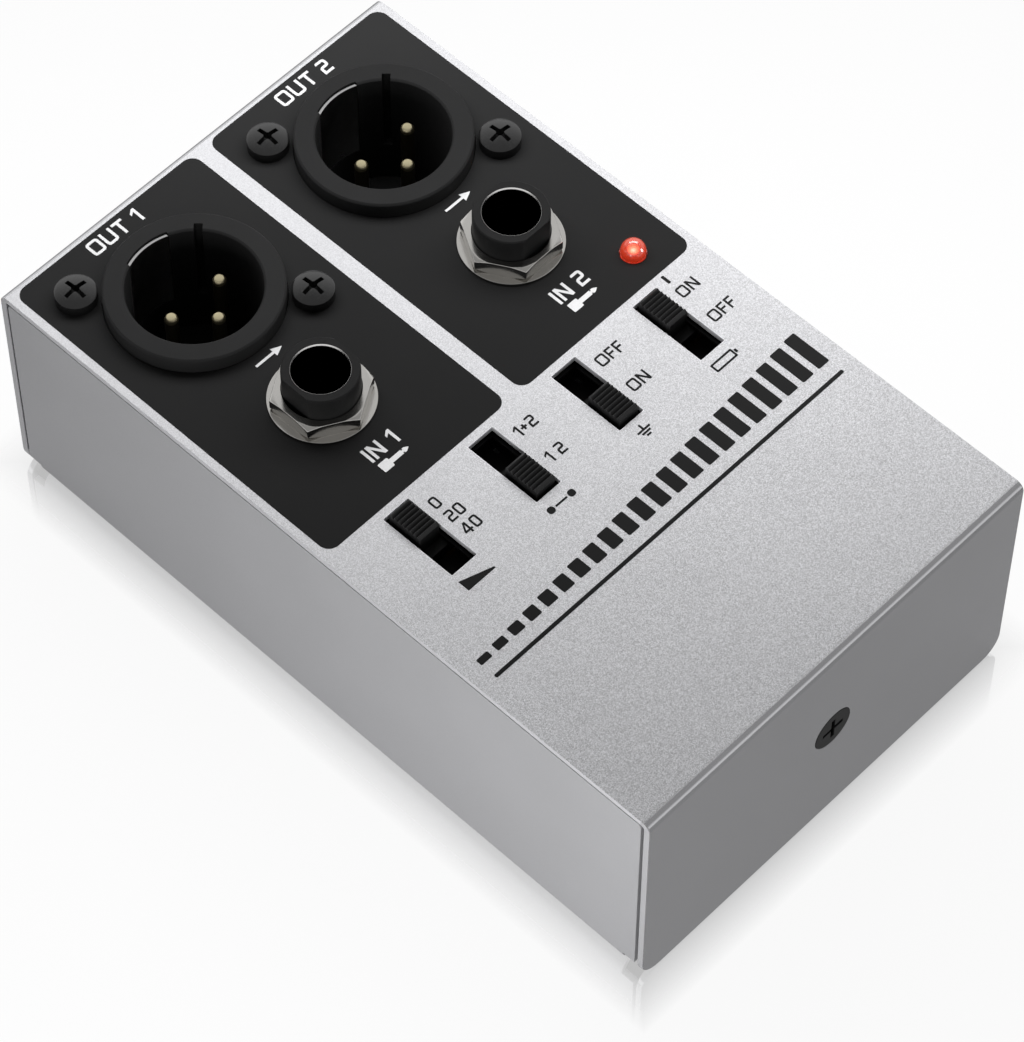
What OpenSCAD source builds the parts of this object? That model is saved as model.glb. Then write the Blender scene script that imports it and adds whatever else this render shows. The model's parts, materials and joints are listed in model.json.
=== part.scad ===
// Two-channel direct injection box: a folded sheet-metal case with two XLR outputs, two
// 6.35 mm jack inputs, four slide switches and a battery bay. Millimetres, +Z up, the
// rear (XLR) end at +Y. The origin is the middle of the underside.

/* [Case] */
// Outer width over the two long sides
case_w = 60; // [57:0.5:80]
// Outer length over the two end panels
case_l = 99.6; // [98:0.2:130]
// Height of the top face above the underside of the tray
case_h = 33.1; // [31.4:0.1:45]
// Thickness of the folded sheet
sheet_t = 0.8; // [0.5:0.1:1]
// Outer radius of the two folds of the cover
cover_bend_r = 1.2; // [1:0.1:2.4]
// Outer radius of the two folds of the tray
tray_bend_r = 2.6; // [1.5:0.1:3]
// Radius of the lower corners of the end panels
end_corner_r = 2.8; // [1:0.1:5]
// Height of the lower edges of the end panels above the underside
end_lift = 0.2; // [0.1:0.1:1]
// Gap between the upper edges of the tray's sides and the cover
seam_gap = 0.2; // [0.2:0.05:0.6]
// Gap between the ends of the tray's sides and the end panels
end_gap = 0.4; // [0.2:0.05:1]
// Length of the notch at each end of the tray's folds
relief_l = 1.8; // [1:0.1:3]
// Height of the notch at each end of the tray's folds
relief_h = 2.4; // [1.5:0.1:4]

/* [Case screws] */
// Thread diameter of the two end screws
case_screw_d = 3; // [2.5:0.5:4]
// Length of the two end screws
case_screw_l = 6.5; // [5.5:0.5:9]
// Diameter of the flush screw heads
case_head_d = 5.7; // [5:0.1:7]
// Height of the end screws above the underside
case_screw_z = 17.6; // [14:0.1:20]
// Width of the upturned tabs that the end screws hold
tab_w = 16; // [10:1:24]
// Height of the tabs above the underside
tab_h = 22.5; // [21:0.5:26]
// Space between an end panel and its tab
tab_space = 1.2; // [1.1:0.1:1.5]
// Outer diameter of the clinch nuts
nut_d = 5.8; // [5.2:0.1:7]
// Length of the clinch nuts behind the tab
nut_l = 3; // [2:0.5:4]

/* [Layout of the top face] */
// Distance between the centre lines of the two channels
channel_pitch = 30.1; // [28:0.1:34]
// Distance from the rear end to the XLR centres
xlr_inset = 16.1; // [15.6:0.1:17]
// Distance from the XLR centres to the jack centres
jack_row_gap = 20.2; // [20:0.1:23]
// Distance from the jack centres to the middle of the switch slots
switch_row_gap = 21.3; // [20.5:0.1:22]
// Distance between neighbouring slide switches
switch_pitch = 13.2; // [12:0.1:14]
// Offset of the lamp from the second jack, across the case
lamp_x_offset = 8.5; // [7:0.1:9]
// Offset of the lamp from the second jack, towards the front
lamp_y_offset = 10.9; // [10.5:0.1:12]

/* [XLR sockets] */
// Outer diameter of the raised ring
xlr_ring_d = 20.8; // [20:0.1:22]
// Height of the raised ring above the top face
xlr_ring_h = 2.1; // [1:0.1:4]
// Bore of the socket
xlr_bore_d = 15.7; // [15:0.1:16.5]
// Depth of the socket below the rim of the ring
xlr_depth = 18; // [14:0.5:20]
// Width of the square flange under the top face
xlr_flange_w = 24.4; // [23:0.2:25]
// Thickness of the flange
xlr_flange_t = 2; // [1.5:0.1:3]
// Diameter of the round body under the flange
xlr_body_d = 20.2; // [19:0.1:21]
// Diameter of the circle that the pins stand on
xlr_pin_circle_d = 7.5; // [7:0.1:9]
// Diameter of a pin
xlr_pin_d = 1.6; // [1.2:0.1:2.4]
// Depth of the pin tips below the rim of the ring
xlr_pin_tip = 2.1; // [1:0.1:4]
// Offset of the mounting screws from the centre, in X and in Y
xlr_screw_offset = 9.4; // [9:0.1:9.8]
// Shank diameter of the mounting screws
xlr_screw_d = 2.5; // [2:0.1:3]
// Length of the mounting screws under their heads
xlr_screw_l = 5; // [3.5:0.5:8]
// Head diameter of the mounting screws
xlr_head_d = 4.9; // [4.5:0.1:5.6]
// Head height of the mounting screws
xlr_head_h = 2; // [1.2:0.1:2.4]
// Width of the key groove in the ring
key_w = 1; // [0.6:0.1:1.6]
// Width of the latch plate
latch_w = 6; // [4:0.2:7]
// Thickness of the latch plate
latch_t = 0.4; // [0.3:0.05:0.6]
// Length of the latch plate
latch_l = 12; // [8:0.5:14]

/* [Jacks] */
// Bore for the 6.35 mm plug
jack_bore_d = 6.4; // [6.4:0.05:6.6]
// Wall of the metal sleeve that lines the bore
jack_sleeve_t = 0.2; // [0.2:0.05:0.4]
// Length of the metal sleeve
jack_sleeve_l = 14; // [10:0.5:16]
// Outer diameter of the bushing
jack_bushing_d = 8.9; // [8.6:0.1:9.5]
// Height of the bushing above the top face
jack_bushing_h = 5.7; // [4:0.1:7]
// Depth of the two flats on the bushing
jack_flat_cut = 0.5; // [0.3:0.1:0.6]
// Depth of the plug hole below the mouth
jack_reach = 32.2; // [31:0.1:32.5]
// Width of the jack body across the case
jack_body_w = 14.8; // [13:0.2:16]
// Length of the jack body along the case
jack_body_l = 14; // [12.5:0.1:14.4]
// Distance across the flats of the nut
jack_nut_af = 10.4; // [9.6:0.1:11]
// Height of the nut
jack_nut_h = 2; // [1:0.1:2.5]
// Diameter of the washer under the nut
jack_washer_d = 12.4; // [11.5:0.1:13]
// Thickness of the washer
jack_washer_t = 0.4; // [0.3:0.05:0.6]

/* [Lamp] */
// Diameter of the lamp
lamp_d = 3; // [2.8:0.1:3.2]
// Height of the lamp's tip above the top face
lamp_h = 1.9; // [1.8:0.1:3]
// Length of the lamp from its flange to its tip
lamp_l = 5.3; // [4.6:0.1:5.8]
// Thickness of the lamp's wires
lamp_wire_t = 0.5; // [0.4:0.05:0.6]

/* [Slide switches] */
// Width of a slot in the top face
slot_w = 3.8; // [3.6:0.1:4.4]
// Length of a slot in the top face
slot_l = 10.4; // [10:0.1:12]
// Width of a knob
knob_w = 2.9; // [2.6:0.1:3.2]
// Length of a knob
knob_l = 4.8; // [4.2:0.1:5]
// Height of a knob above the top face
knob_h = 1.1; // [0.4:0.1:2]
// Travel of a knob from end to end
travel = 4.8; // [4:0.1:5]
// Width of a switch frame
frame_w = 8.6; // [8:0.1:9.4]
// Length of a switch frame
frame_l = 15; // [14.8:0.1:15.6]
// Height of a switch frame
frame_h = 4.4; // [4:0.1:5]
// Sheet thickness of a switch frame
frame_t = 0.4; // [0.3:0.05:0.5]
// Thickness of a switch base
base_t = 1.2; // [1:0.1:1.5]
// Space between the switch frames and the top cover
frame_gap = 0.5; // [0.3:0.1:0.8]

/* [Boards] */
// Thickness of both circuit boards
board_t = 1.6; // [1:0.1:2]
// Space between the boards and the case
board_gap = 0.8; // [0.5:0.1:1.2]
// Length of the solder tails under the boards
tail_l = 1.2; // [0.8:0.1:1.5]
// Pitch of the header pins
header_pitch = 2.54; // [2:0.02:2.54]
// Diameter of the electrolytic capacitors
can_d = 6.3; // [5:0.1:7]
// Height of the electrolytic capacitors
can_h = 11; // [8:0.5:14]

/* [Battery] */
// Length of the battery without its terminals
battery_l = 46.4; // [45:0.1:47]
// Height of the battery, which stands on its long edge
battery_h = 26.5; // [25.5:0.1:27]
// Thickness of the battery, along the case
battery_t = 17.5; // [16:0.1:18]
// Space between the front end screw and the spring clip
battery_gap = 0.6; // [0.4:0.1:2]
// Sheet thickness of the spring clip
clip_t = 0.6; // [0.4:0.1:0.8]
// Width of the spring clip
clip_w = 20; // [12:1:30]
// Height of the spring clip's arms
clip_h = 16; // [8:0.5:22]
// Diameter of a battery lead
lead_d = 1.2; // [0.8:0.1:1.4]

/* [Hidden] */
$fn = 64;
eps = 0.01;
CHANNELS = [-1, 1];
SWITCHES = ["attenuation", "mode", "ground", "battery"];
// Where each knob stands in its slot: 1 is the rear end and -1 is the front end
KNOB_ENDS = [1, -1, -1, 1];

// Clearances
hole_gap = 0.1;
fit_gap = 0.05;
slide_gap = 0.2;

// Heights that everything hangs from: the cover's two faces, then the boards below it
under_z = case_h - sheet_t;
mouth_z = case_h + jack_bushing_h;
rim_z = case_h + xlr_ring_h;
jack_floor_t = 1;
main_top_z = mouth_z - jack_reach - jack_floor_t;
frame_top_z = under_z - frame_gap;
switch_top_z = frame_top_z - frame_h;
tail_z = main_top_z - board_t - tail_l;

// Rows across the top face, from the rear end forward
xlr_y = case_l / 2 - xlr_inset;
jack_y = xlr_y - jack_row_gap;
switch_y = jack_y - switch_row_gap;
channel_x = channel_pitch / 2;
lamp_x = channel_x + lamp_x_offset;
lamp_y = jack_y - lamp_y_offset;

// Faces inside the case
side_end_y = case_l / 2 - sheet_t - end_gap;
tab_y = case_l / 2 - sheet_t - tab_space;
inner_x = case_w / 2 - sheet_t;

function switch_x(i) = (i - 1.5) * switch_pitch;
function knob_y(i) = switch_y + KNOB_ENDS[i] * travel / 2;

// Places the children, drawn pointing inwards from the outer face, at both end screws
module at_case_screws() {
    for (side = [-1, 1])
        translate([0, side * case_l / 2, case_screw_z])
            rotate([side * 90, 0, 0])
                children();
}

// Places the children at the mounting screws of one XLR socket
module at_xlr_screws() {
    for (side = [-1, 1])
        translate([side * xlr_screw_offset, -side * xlr_screw_offset, 0])
            children();
}

// Upright plate outline, w wide and h high on the x axis, with round upper corners
module arch_outline(w, h, r) {
    translate([-w / 2, 0])
        square([w, h - r]);
    translate([-w / 2 + r, 0])
        square([w - 2 * r, h]);
    for (side = [-1, 1])
        translate([side * (w / 2 - r), h - r])
            circle(r);
}

// Outline of a sheet folded down at both sides, seen along the folds
module folded_outline(w, h, r) {
    difference() {
        arch_outline(w, h, r);
        translate([0, -eps])
            arch_outline(w - 2 * sheet_t, h - sheet_t + eps, r - sheet_t);
    }
}

// Extrudes an outline along X, its own x along Y and its own y along Z
module extrude_x(length) {
    rotate([90, 0, 90])
        linear_extrude(length, center = true)
            children();
}

// Extrudes an outline along Y, its own x along X and its own y along Z
module extrude_y(length) {
    rotate([90, 0, 0])
        linear_extrude(length, center = true)
            children();
}

// Block with its middle on the axis and its lower face at z = 0
module block(size) {
    translate([-size[0] / 2, -size[1] / 2, 0])
        cube(size);
}

// Cross recess, cut downwards from z = 0
module cross_recess(width, depth) {
    arm = width / 6;
    for (turn = [0, 90])
        rotate(turn)
            translate([0, 0, -depth])
                block([width, arm, depth + eps]);
}

// Case

dimple_wall = 0.6;
head_cone_h = (case_head_d - case_screw_d) / 2;
dimple_depth = head_cone_h + dimple_wall - fit_gap;
nut_shank_wall = 0.6;
nut_shank_d = case_screw_d + 2 * nut_shank_wall;
case_recess_w = 3.2;
recess_depth = 0.9;

module end_panels_outline() {
    height = case_h - end_lift;
    translate([0, case_h])
        mirror([0, 1])
            arch_outline(case_w, height, end_corner_r);
}

module top_cover_sheet() {
    intersection() {
        translate([0, 0, end_lift])
            extrude_x(case_w)
                folded_outline(case_l, case_h - end_lift, cover_bend_r);
        extrude_y(case_l + 2)
            end_panels_outline();
    }
    at_case_screws()
        translate([0, 0, sheet_t / 2])
            cylinder(h = dimple_depth - sheet_t / 2, r1 = case_head_d / 2 + dimple_wall,
                     r2 = case_screw_d / 2 + 2 * dimple_wall);
}

module top_cover() {
    color("silver")
        difference() {
            top_cover_sheet();
            at_case_screws() {
                translate([0, 0, -eps])
                    cylinder(h = head_cone_h + eps, r1 = case_head_d / 2 + fit_gap + eps,
                             r2 = case_screw_d / 2 + fit_gap);
                cylinder(h = dimple_depth + 1, d = case_screw_d + 2 * fit_gap);
            }
            translate([0, 0, under_z - 1]) {
                for (side = CHANNELS) {
                    translate([side * channel_x, xlr_y, 0])
                        cylinder(h = sheet_t + 2, d = xlr_ring_d + 2 * hole_gap);
                    translate([side * channel_x, xlr_y, 0])
                        at_xlr_screws()
                            cylinder(h = sheet_t + 2, d = xlr_screw_d + 2 * hole_gap);
                    translate([side * channel_x, jack_y, 0])
                        cylinder(h = sheet_t + 2, d = jack_bushing_d + 2 * hole_gap);
                }
                translate([lamp_x, lamp_y, 0])
                    cylinder(h = sheet_t + 2, d = lamp_d + 2 * hole_gap);
                for (i = [0:3])
                    translate([switch_x(i), switch_y, 0])
                        block([slot_w, slot_l, sheet_t + 2]);
            }
        }
}

module tray_channel() {
    height = under_z - seam_gap;
    intersection() {
        translate([0, 0, height])
            mirror([0, 0, 1])
                extrude_y(2 * side_end_y)
                    folded_outline(case_w, height, tray_bend_r);
        extrude_x(case_w)
            arch_outline(2 * side_end_y, height, cover_bend_r - sheet_t + seam_gap);
    }
}

module tray_tabs() {
    intersection() {
        translate([0, 0, tab_h])
            mirror([0, 0, 1])
                extrude_x(tab_w)
                    folded_outline(2 * tab_y, tab_h, cover_bend_r);
        extrude_y(case_l)
            arch_outline(tab_w, tab_h, end_corner_r);
    }
}

module bottom_tray() {
    tab_notch = side_end_y - tab_y + cover_bend_r;
    color("darkgray")
        difference() {
            union() {
                difference() {
                    tray_channel();
                    for (x_side = [-1, 1], y_side = [-1, 1])
                        translate([x_side * case_w / 2, y_side * side_end_y, -1])
                            block([2 * tray_bend_r, 2 * relief_l, relief_h + 1]);
                    for (y_side = [-1, 1])
                        translate([0, y_side * side_end_y, -1])
                            block([tab_w + relief_l, 2 * tab_notch, sheet_t + 2]);
                }
                tray_tabs();
            }
            at_case_screws()
                cylinder(h = 2 * (sheet_t + tab_space), d = nut_shank_d + 2 * fit_gap);
        }
}

module case_screws() {
    color("#1c1c1e")
        at_case_screws()
            difference() {
                union() {
                    cylinder(h = head_cone_h, d1 = case_head_d, d2 = case_screw_d);
                    cylinder(h = case_screw_l, d = case_screw_d);
                }
                mirror([0, 0, 1])
                    cross_recess(case_recess_w, recess_depth);
            }
}

module clinch_nuts() {
    color("gainsboro")
        at_case_screws()
            translate([0, 0, sheet_t + tab_space])
                difference() {
                    union() {
                        cylinder(h = sheet_t, d = nut_shank_d);
                        translate([0, 0, sheet_t])
                            cylinder(h = nut_l, d = nut_d);
                    }
                    translate([0, 0, -eps])
                        cylinder(h = sheet_t + nut_l + 1, d = case_screw_d + 2 * fit_gap);
                }
}

// XLR sockets

xlr_floor_t = 1.5;
xlr_floor_z = rim_z - xlr_depth;
ring_chamfer = 0.25;
skirt_t = 1.2;
key_angle = 43;
key_depth = 0.9;
latch_drop = 0.25;
xlr_recess_w = 3.1;
xlr_crown_h = 0.6;
pin_tip_h = 0.4;
pin_tail_d = 1.1;
latch_bow_r = xlr_bore_d / 2 + latch_t;

// Round parts of the housing: the raised ring, the socket's floor and the skirt under it
module xlr_round_body() {
    ring_r = xlr_ring_d / 2;
    bore_r = xlr_bore_d / 2;
    body_r = xlr_body_d / 2;
    rotate_extrude()
        polygon([[0, xlr_floor_z], [bore_r, xlr_floor_z], [bore_r, rim_z - ring_chamfer],
                 [bore_r + ring_chamfer, rim_z], [ring_r - ring_chamfer, rim_z],
                 [ring_r, rim_z - ring_chamfer], [ring_r, under_z - xlr_flange_t],
                 [body_r, under_z - xlr_flange_t], [body_r, main_top_z],
                 [body_r - skirt_t, main_top_z], [body_r - skirt_t, xlr_floor_z - xlr_floor_t],
                 [0, xlr_floor_z - xlr_floor_t]]);
}

// Upright segment of the latch plate's ring, grown by gap on its sides for a pocket
module latch_form(length, gap) {
    intersection() {
        difference() {
            cylinder(h = length, r = latch_bow_r + gap);
            translate([0, 0, -1])
                cylinder(h = length + 2, r = latch_bow_r - latch_t - gap);
        }
        translate([0, latch_bow_r, 0])
            block([latch_w + 2 * gap, latch_bow_r, length]);
    }
}

module at_xlr_pins() {
    for (turn = [0, 180, 270])
        rotate(turn)
            translate([xlr_pin_circle_d / 2, 0, 0])
                children();
}

module xlr_shell(side) {
    color("#2a2a2c")
        translate([side * channel_x, xlr_y, 0])
            difference() {
                union() {
                    xlr_round_body();
                    difference() {
                        translate([0, 0, under_z - xlr_flange_t])
                            block([xlr_flange_w, xlr_flange_w, xlr_flange_t]);
                        cylinder(h = case_h, d = (xlr_bore_d + xlr_ring_d) / 2);
                    }
                }
                at_xlr_screws()
                    cylinder(h = case_h, d = xlr_screw_d + 2 * fit_gap);
                rotate(key_angle)
                    translate([xlr_bore_d / 2 - key_depth, -key_w / 2, rim_z - latch_l])
                        cube([2 * key_depth, key_w, latch_l + 1]);
                translate([0, 0, rim_z - latch_l - latch_drop])
                    latch_form(latch_l + latch_drop + 1, fit_gap);
                translate([0, 0, tail_z])
                    at_xlr_pins()
                        cylinder(h = case_h - tail_z, d = xlr_pin_d + 2 * fit_gap);
            }
}

module xlr_pins(side) {
    tip_z = rim_z - xlr_pin_tip;
    foot_z = xlr_floor_z - xlr_floor_t;
    pin_r = xlr_pin_d / 2;
    tail_r = pin_tail_d / 2;
    color("#d8cc9c")
        translate([side * channel_x, xlr_y, 0])
            at_xlr_pins()
                rotate_extrude()
                    polygon([[0, tail_z], [tail_r, tail_z], [tail_r, foot_z], [pin_r, foot_z],
                             [pin_r, tip_z - pin_tip_h], [tail_r, tip_z], [0, tip_z]]);
}

module xlr_latch_plate(side) {
    color("#c8c8c8")
        translate([side * channel_x, xlr_y, rim_z - latch_l - latch_drop])
            latch_form(latch_l, 0);
}

module xlr_screws() {
    color("#202022")
        for (side = CHANNELS)
            translate([side * channel_x, xlr_y, case_h])
                at_xlr_screws()
                    difference() {
                        union() {
                            cylinder(h = xlr_head_h - xlr_crown_h, d = xlr_head_d);
                            translate([0, 0, xlr_head_h - xlr_crown_h])
                                cylinder(h = xlr_crown_h, d1 = xlr_head_d,
                                         d2 = xlr_head_d - 2 * xlr_crown_h);
                            translate([0, 0, -xlr_screw_l])
                                cylinder(h = xlr_screw_l + eps, d = xlr_screw_d);
                        }
                        translate([0, 0, xlr_head_h])
                            cross_recess(xlr_recess_w, recess_depth);
                    }
}

// Jacks

sleeve_r = jack_bore_d / 2 + jack_sleeve_t;
jack_cavity_r = sleeve_r + fit_gap;
mouth_flare = 0.15;
mouth_flare_l = 0.8;
bushing_chamfer = 0.15;
spring_t = 0.4;
spring_w = 2.8;
spring_hole_d = 2 * spring_t * sqrt(2) + 2 * fit_gap;
spring_set = 1.8;
spring_x = sleeve_r + spring_set;
bump_r = 1;
tip_bump_rise = 4;
ring_bump_rise = 12;
tip_bump_z = main_top_z + tip_bump_rise;
ring_bump_z = main_top_z + ring_bump_rise;
spring_top = 3;
nut_crown = 0.1;

// Places the children at the tip, ring and sleeve springs of a jack
module at_jack_springs() {
    for (turn = [0, 180, 270])
        rotate(turn)
            children();
}

// Bushing with two flats that face along X; on the second jack they face along Y
module jack_bushing(floor_z) {
    bushing_r = jack_bushing_d / 2;
    intersection() {
        rotate_extrude()
            polygon([[0, floor_z], [bushing_r, floor_z], [bushing_r, mouth_z - bushing_chamfer],
                     [bushing_r - bushing_chamfer, mouth_z], [0, mouth_z]]);
        block([jack_bushing_d - 2 * jack_flat_cut, 2 * jack_bushing_d, mouth_z + 1]);
    }
}

module jack_body(side) {
    floor_z = main_top_z + jack_floor_t;
    pocket_h = mouth_z - jack_sleeve_l - floor_z;
    pocket_l = spring_x + spring_t + slide_gap;
    color("#262628")
        translate([side * channel_x, jack_y, 0])
            difference() {
                union() {
                    translate([0, 0, main_top_z])
                        block([jack_body_w, jack_body_l, under_z - main_top_z]);
                    rotate(side < 0 ? 0 : 90)
                        jack_bushing(floor_z);
                }
                translate([0, 0, floor_z])
                    cylinder(h = mouth_z, r = jack_cavity_r);
                translate([0, 0, floor_z])
                    at_jack_springs()
                        translate([0, -spring_w / 2 - slide_gap, 0])
                            cube([pocket_l, spring_w + 2 * slide_gap, pocket_h]);
                translate([0, 0, -1])
                    at_jack_springs()
                        translate([spring_x - fit_gap, -spring_t - fit_gap, 0])
                            cube([spring_t + 2 * fit_gap, 2 * (spring_t + fit_gap), floor_z + 2]);
            }
}

module jack_sleeve(side) {
    bore_r = jack_bore_d / 2;
    color("#d0d0d0")
        translate([side * channel_x, jack_y, mouth_z])
            rotate_extrude()
                polygon([[bore_r, -jack_sleeve_l], [sleeve_r, -jack_sleeve_l], [sleeve_r, 0],
                         [bore_r + mouth_flare, 0], [bore_r, -mouth_flare_l]]);
}

// One leaf spring with a round contact bump and a solder tail
module jack_spring(bump_z) {
    floor_z = main_top_z + jack_floor_t;
    translate([spring_x, -spring_w / 2, floor_z])
        cube([spring_t, spring_w, bump_z + spring_top - floor_z]);
    translate([spring_x, -spring_t, tail_z])
        cube([spring_t, 2 * spring_t, floor_z - tail_z + eps]);
    intersection() {
        translate([spring_x, 0, bump_z])
            rotate([90, 0, 0])
                cylinder(h = spring_w, r = bump_r, center = true);
        translate([spring_x - bump_r, -spring_w / 2, bump_z - bump_r])
            cube([bump_r + eps, spring_w, 2 * bump_r]);
    }
}

module jack_springs(side) {
    color("#cfc9b0")
        translate([side * channel_x, jack_y, 0]) {
            jack_spring(ring_bump_z);
            rotate(180)
                jack_spring(tip_bump_z);
            rotate(270)
                jack_spring(tip_bump_z);
        }
}

// Nut with the corners of both faces turned off by cones; the two nuts stand at different angles
module jack_nuts() {
    corner_r = jack_nut_af / sqrt(3);
    crown_r = jack_nut_af / 2 + nut_crown;
    foot_r = crown_r + jack_nut_h / tan(30);
    turns = [30, 0];
    color("lightgray")
        for (i = [0, 1])
            translate([CHANNELS[i] * channel_x, jack_y, case_h + jack_washer_t])
                difference() {
                    intersection() {
                        rotate(turns[i])
                            linear_extrude(jack_nut_h)
                                circle(corner_r, $fn = 6);
                        cylinder(h = jack_nut_h, r1 = foot_r, r2 = crown_r);
                        cylinder(h = jack_nut_h, r1 = crown_r, r2 = foot_r);
                    }
                    translate([0, 0, -1])
                        cylinder(h = jack_nut_h + 2, d = jack_bushing_d + 2 * fit_gap);
                }
}

module jack_washers() {
    color("lightgray")
        for (side = CHANNELS)
            translate([side * channel_x, jack_y, case_h])
                difference() {
                    cylinder(h = jack_washer_t, d = jack_washer_d);
                    translate([0, 0, -1])
                        cylinder(h = jack_washer_t + 2, d = jack_bushing_d + 2 * hole_gap);
                }
}

// Lamp

lamp_flange_t = 0.8;
lamp_flange_lip = 0.4;
lamp_flange_d = lamp_d + 2 * lamp_flange_lip;
lamp_foot_z = case_h + lamp_h - lamp_l;
lamp_wire_x = 1.27;

module lamp_lens() {
    color("#e8452a")
        translate([lamp_x, lamp_y, lamp_foot_z]) {
            cylinder(h = lamp_flange_t, d = lamp_flange_d);
            cylinder(h = lamp_l - lamp_d / 2, d = lamp_d);
            translate([0, 0, lamp_l - lamp_d / 2])
                sphere(d = lamp_d);
        }
}

module lamp_wires() {
    color("silver")
        translate([lamp_x, lamp_y, switch_top_z - board_t - tail_l])
            for (side = [-1, 1])
                translate([side * lamp_wire_x, 0, 0])
                    block([lamp_wire_t, lamp_wire_t,
                           lamp_foot_z - switch_top_z + board_t + tail_l]);
}

module lamp_spacer() {
    hole = lamp_wire_t + 2 * fit_gap;
    height = lamp_foot_z - switch_top_z;
    color("#e8e6dc")
        translate([lamp_x, lamp_y, switch_top_z])
            difference() {
                cylinder(h = height, d = lamp_flange_d);
                for (side = [-1, 1])
                    translate([side * lamp_wire_x, 0, -1])
                        block([hole, hole, height + 2]);
            }
}

// Slide switches

RIDGES = 7;
ridge_depth = 0.45;
knob_chamfer = 0.35;
foot_w = frame_w - 2 * frame_t - 2 * slide_gap;
foot_lip = 1.2;
foot_l = knob_l + 2 * foot_lip;
foot_h = 1.5;
wiper_t = 0.3;
wiper_w = 1;
wiper_gap = 0.1;
contact_x = frame_w / 4;
contact_pitch = travel;
contact_w = 0.8;
contact_t = 0.4;
base_w = frame_w - 2 * frame_t - 2 * fit_gap;
base_l = frame_l - 2 * frame_t - 2 * fit_gap;
base_top_z = switch_top_z + base_t;
foot_top_z = frame_top_z - frame_t - slide_gap;

// Terminals stand at the middle and at both ends of the travel, in two rows
module at_contacts() {
    for (x_side = [-1, 1], step = [-1, 0, 1])
        translate([x_side * contact_x, step * contact_pitch, 0])
            children();
}

module switch_base(i) {
    color("#5b3a24")
        translate([switch_x(i), switch_y, switch_top_z])
            difference() {
                block([base_w, base_l, base_t]);
                translate([0, 0, -1])
                    at_contacts()
                        block([contact_t + 2 * fit_gap, contact_w + 2 * fit_gap, base_t + 2]);
            }
}

module switch_frame(i) {
    window_w = knob_w + 2 * slide_gap;
    window_l = knob_l + travel + 2 * slide_gap;
    color("#2e2e30")
        translate([switch_x(i), switch_y, switch_top_z])
            difference() {
                block([frame_w, frame_l, frame_h]);
                translate([0, 0, -1])
                    block([frame_w - 2 * frame_t, frame_l - 2 * frame_t, frame_h - frame_t + 1]);
                block([window_w, window_l, frame_h + 1]);
            }
}

// Side outline of a knob: a ridged top between two sloping ends
module knob_outline() {
    top = case_h + knob_h;
    ridge_l = knob_l - 2 * knob_chamfer;
    step = ridge_l / RIDGES;
    polygon(concat(
        [[-knob_l / 2, foot_top_z - eps], [-knob_l / 2, top - knob_chamfer]],
        [for (k = [0:RIDGES - 1], part = [0, 1])
            [-ridge_l / 2 + (k + part / 2) * step, top - part * ridge_depth]],
        [[ridge_l / 2, top], [knob_l / 2, top - knob_chamfer], [knob_l / 2, foot_top_z - eps]]));
}

module knob(i) {
    color("#1e1e20")
        translate([switch_x(i), knob_y(i), 0]) {
            extrude_x(knob_w)
                knob_outline();
            translate([0, 0, foot_top_z - foot_h])
                block([foot_w, foot_l, foot_h]);
        }
}

// Two sprung strips under the knob's foot, each bridging two neighbouring contacts
module wiper(i) {
    foot_z = foot_top_z - foot_h;
    shoe_h = foot_z - wiper_t - base_top_z - wiper_gap;
    color("#c9a45a")
        translate([switch_x(i), knob_y(i), foot_z - wiper_t])
            for (side = [-1, 1])
                translate([side * contact_x, 0, 0]) {
                    block([wiper_w, foot_l, wiper_t]);
                    for (end = [-1, 1])
                        translate([0, end * (foot_l - wiper_w) / 2, -shoe_h])
                            block([wiper_w, wiper_w, shoe_h + eps]);
                }
}

module switch_terminals() {
    depth = base_t + board_t + tail_l;
    color("silver")
        for (i = [0:3])
            translate([switch_x(i), switch_y, base_top_z - depth])
                at_contacts()
                    block([contact_t, contact_w, depth]);
}

// Circuit boards

board_w = 2 * (inner_x - board_gap);
board_front_y = switch_y - frame_l / 2 - board_gap;
main_rear_y = tab_y - sheet_t - board_gap / 2;
switch_rear_y = jack_y - jack_body_l / 2 - board_gap;
header_t = 2.5;
header_pin_t = 0.6;
rear_header_y = switch_rear_y - header_t / 2;
side_header_x = board_w / 2 - header_t / 2;
REAR_PINS = 8;
SIDE_PINS = 5;
main_under_z = main_top_z - board_t;
switch_under_z = switch_top_z - board_t;

// Places the children along one header
module header_row(count) {
    for (k = [0:count - 1])
        translate([(k - (count - 1) / 2) * header_pitch, 0, 0])
            children();
}

// Places the children at every pin of the headers that join the two boards
module at_header_pins() {
    translate([0, rear_header_y, 0])
        header_row(REAR_PINS)
            children();
    for (side = [-1, 1])
        translate([side * side_header_x, switch_y, 0])
            rotate(90)
                header_row(SIDE_PINS)
                    children();
}

module header_pin_holes() {
    at_header_pins()
        cylinder(h = board_t + 2, d = header_pin_t * sqrt(2) + 2 * fit_gap);
}

module main_board() {
    color("#2f6b3c")
        difference() {
            translate([-board_w / 2, board_front_y, main_under_z])
                cube([board_w, main_rear_y - board_front_y, board_t]);
            translate([0, 0, main_under_z - 1]) {
                header_pin_holes();
                for (side = CHANNELS) {
                    translate([side * channel_x, xlr_y, 0])
                        at_xlr_pins()
                            cylinder(h = board_t + 2, d = xlr_pin_d);
                    translate([side * channel_x, jack_y, 0])
                        at_jack_springs()
                            translate([spring_x + spring_t / 2, 0, 0])
                                cylinder(h = board_t + 2, d = spring_hole_d);
                }
            }
        }
}

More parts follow.
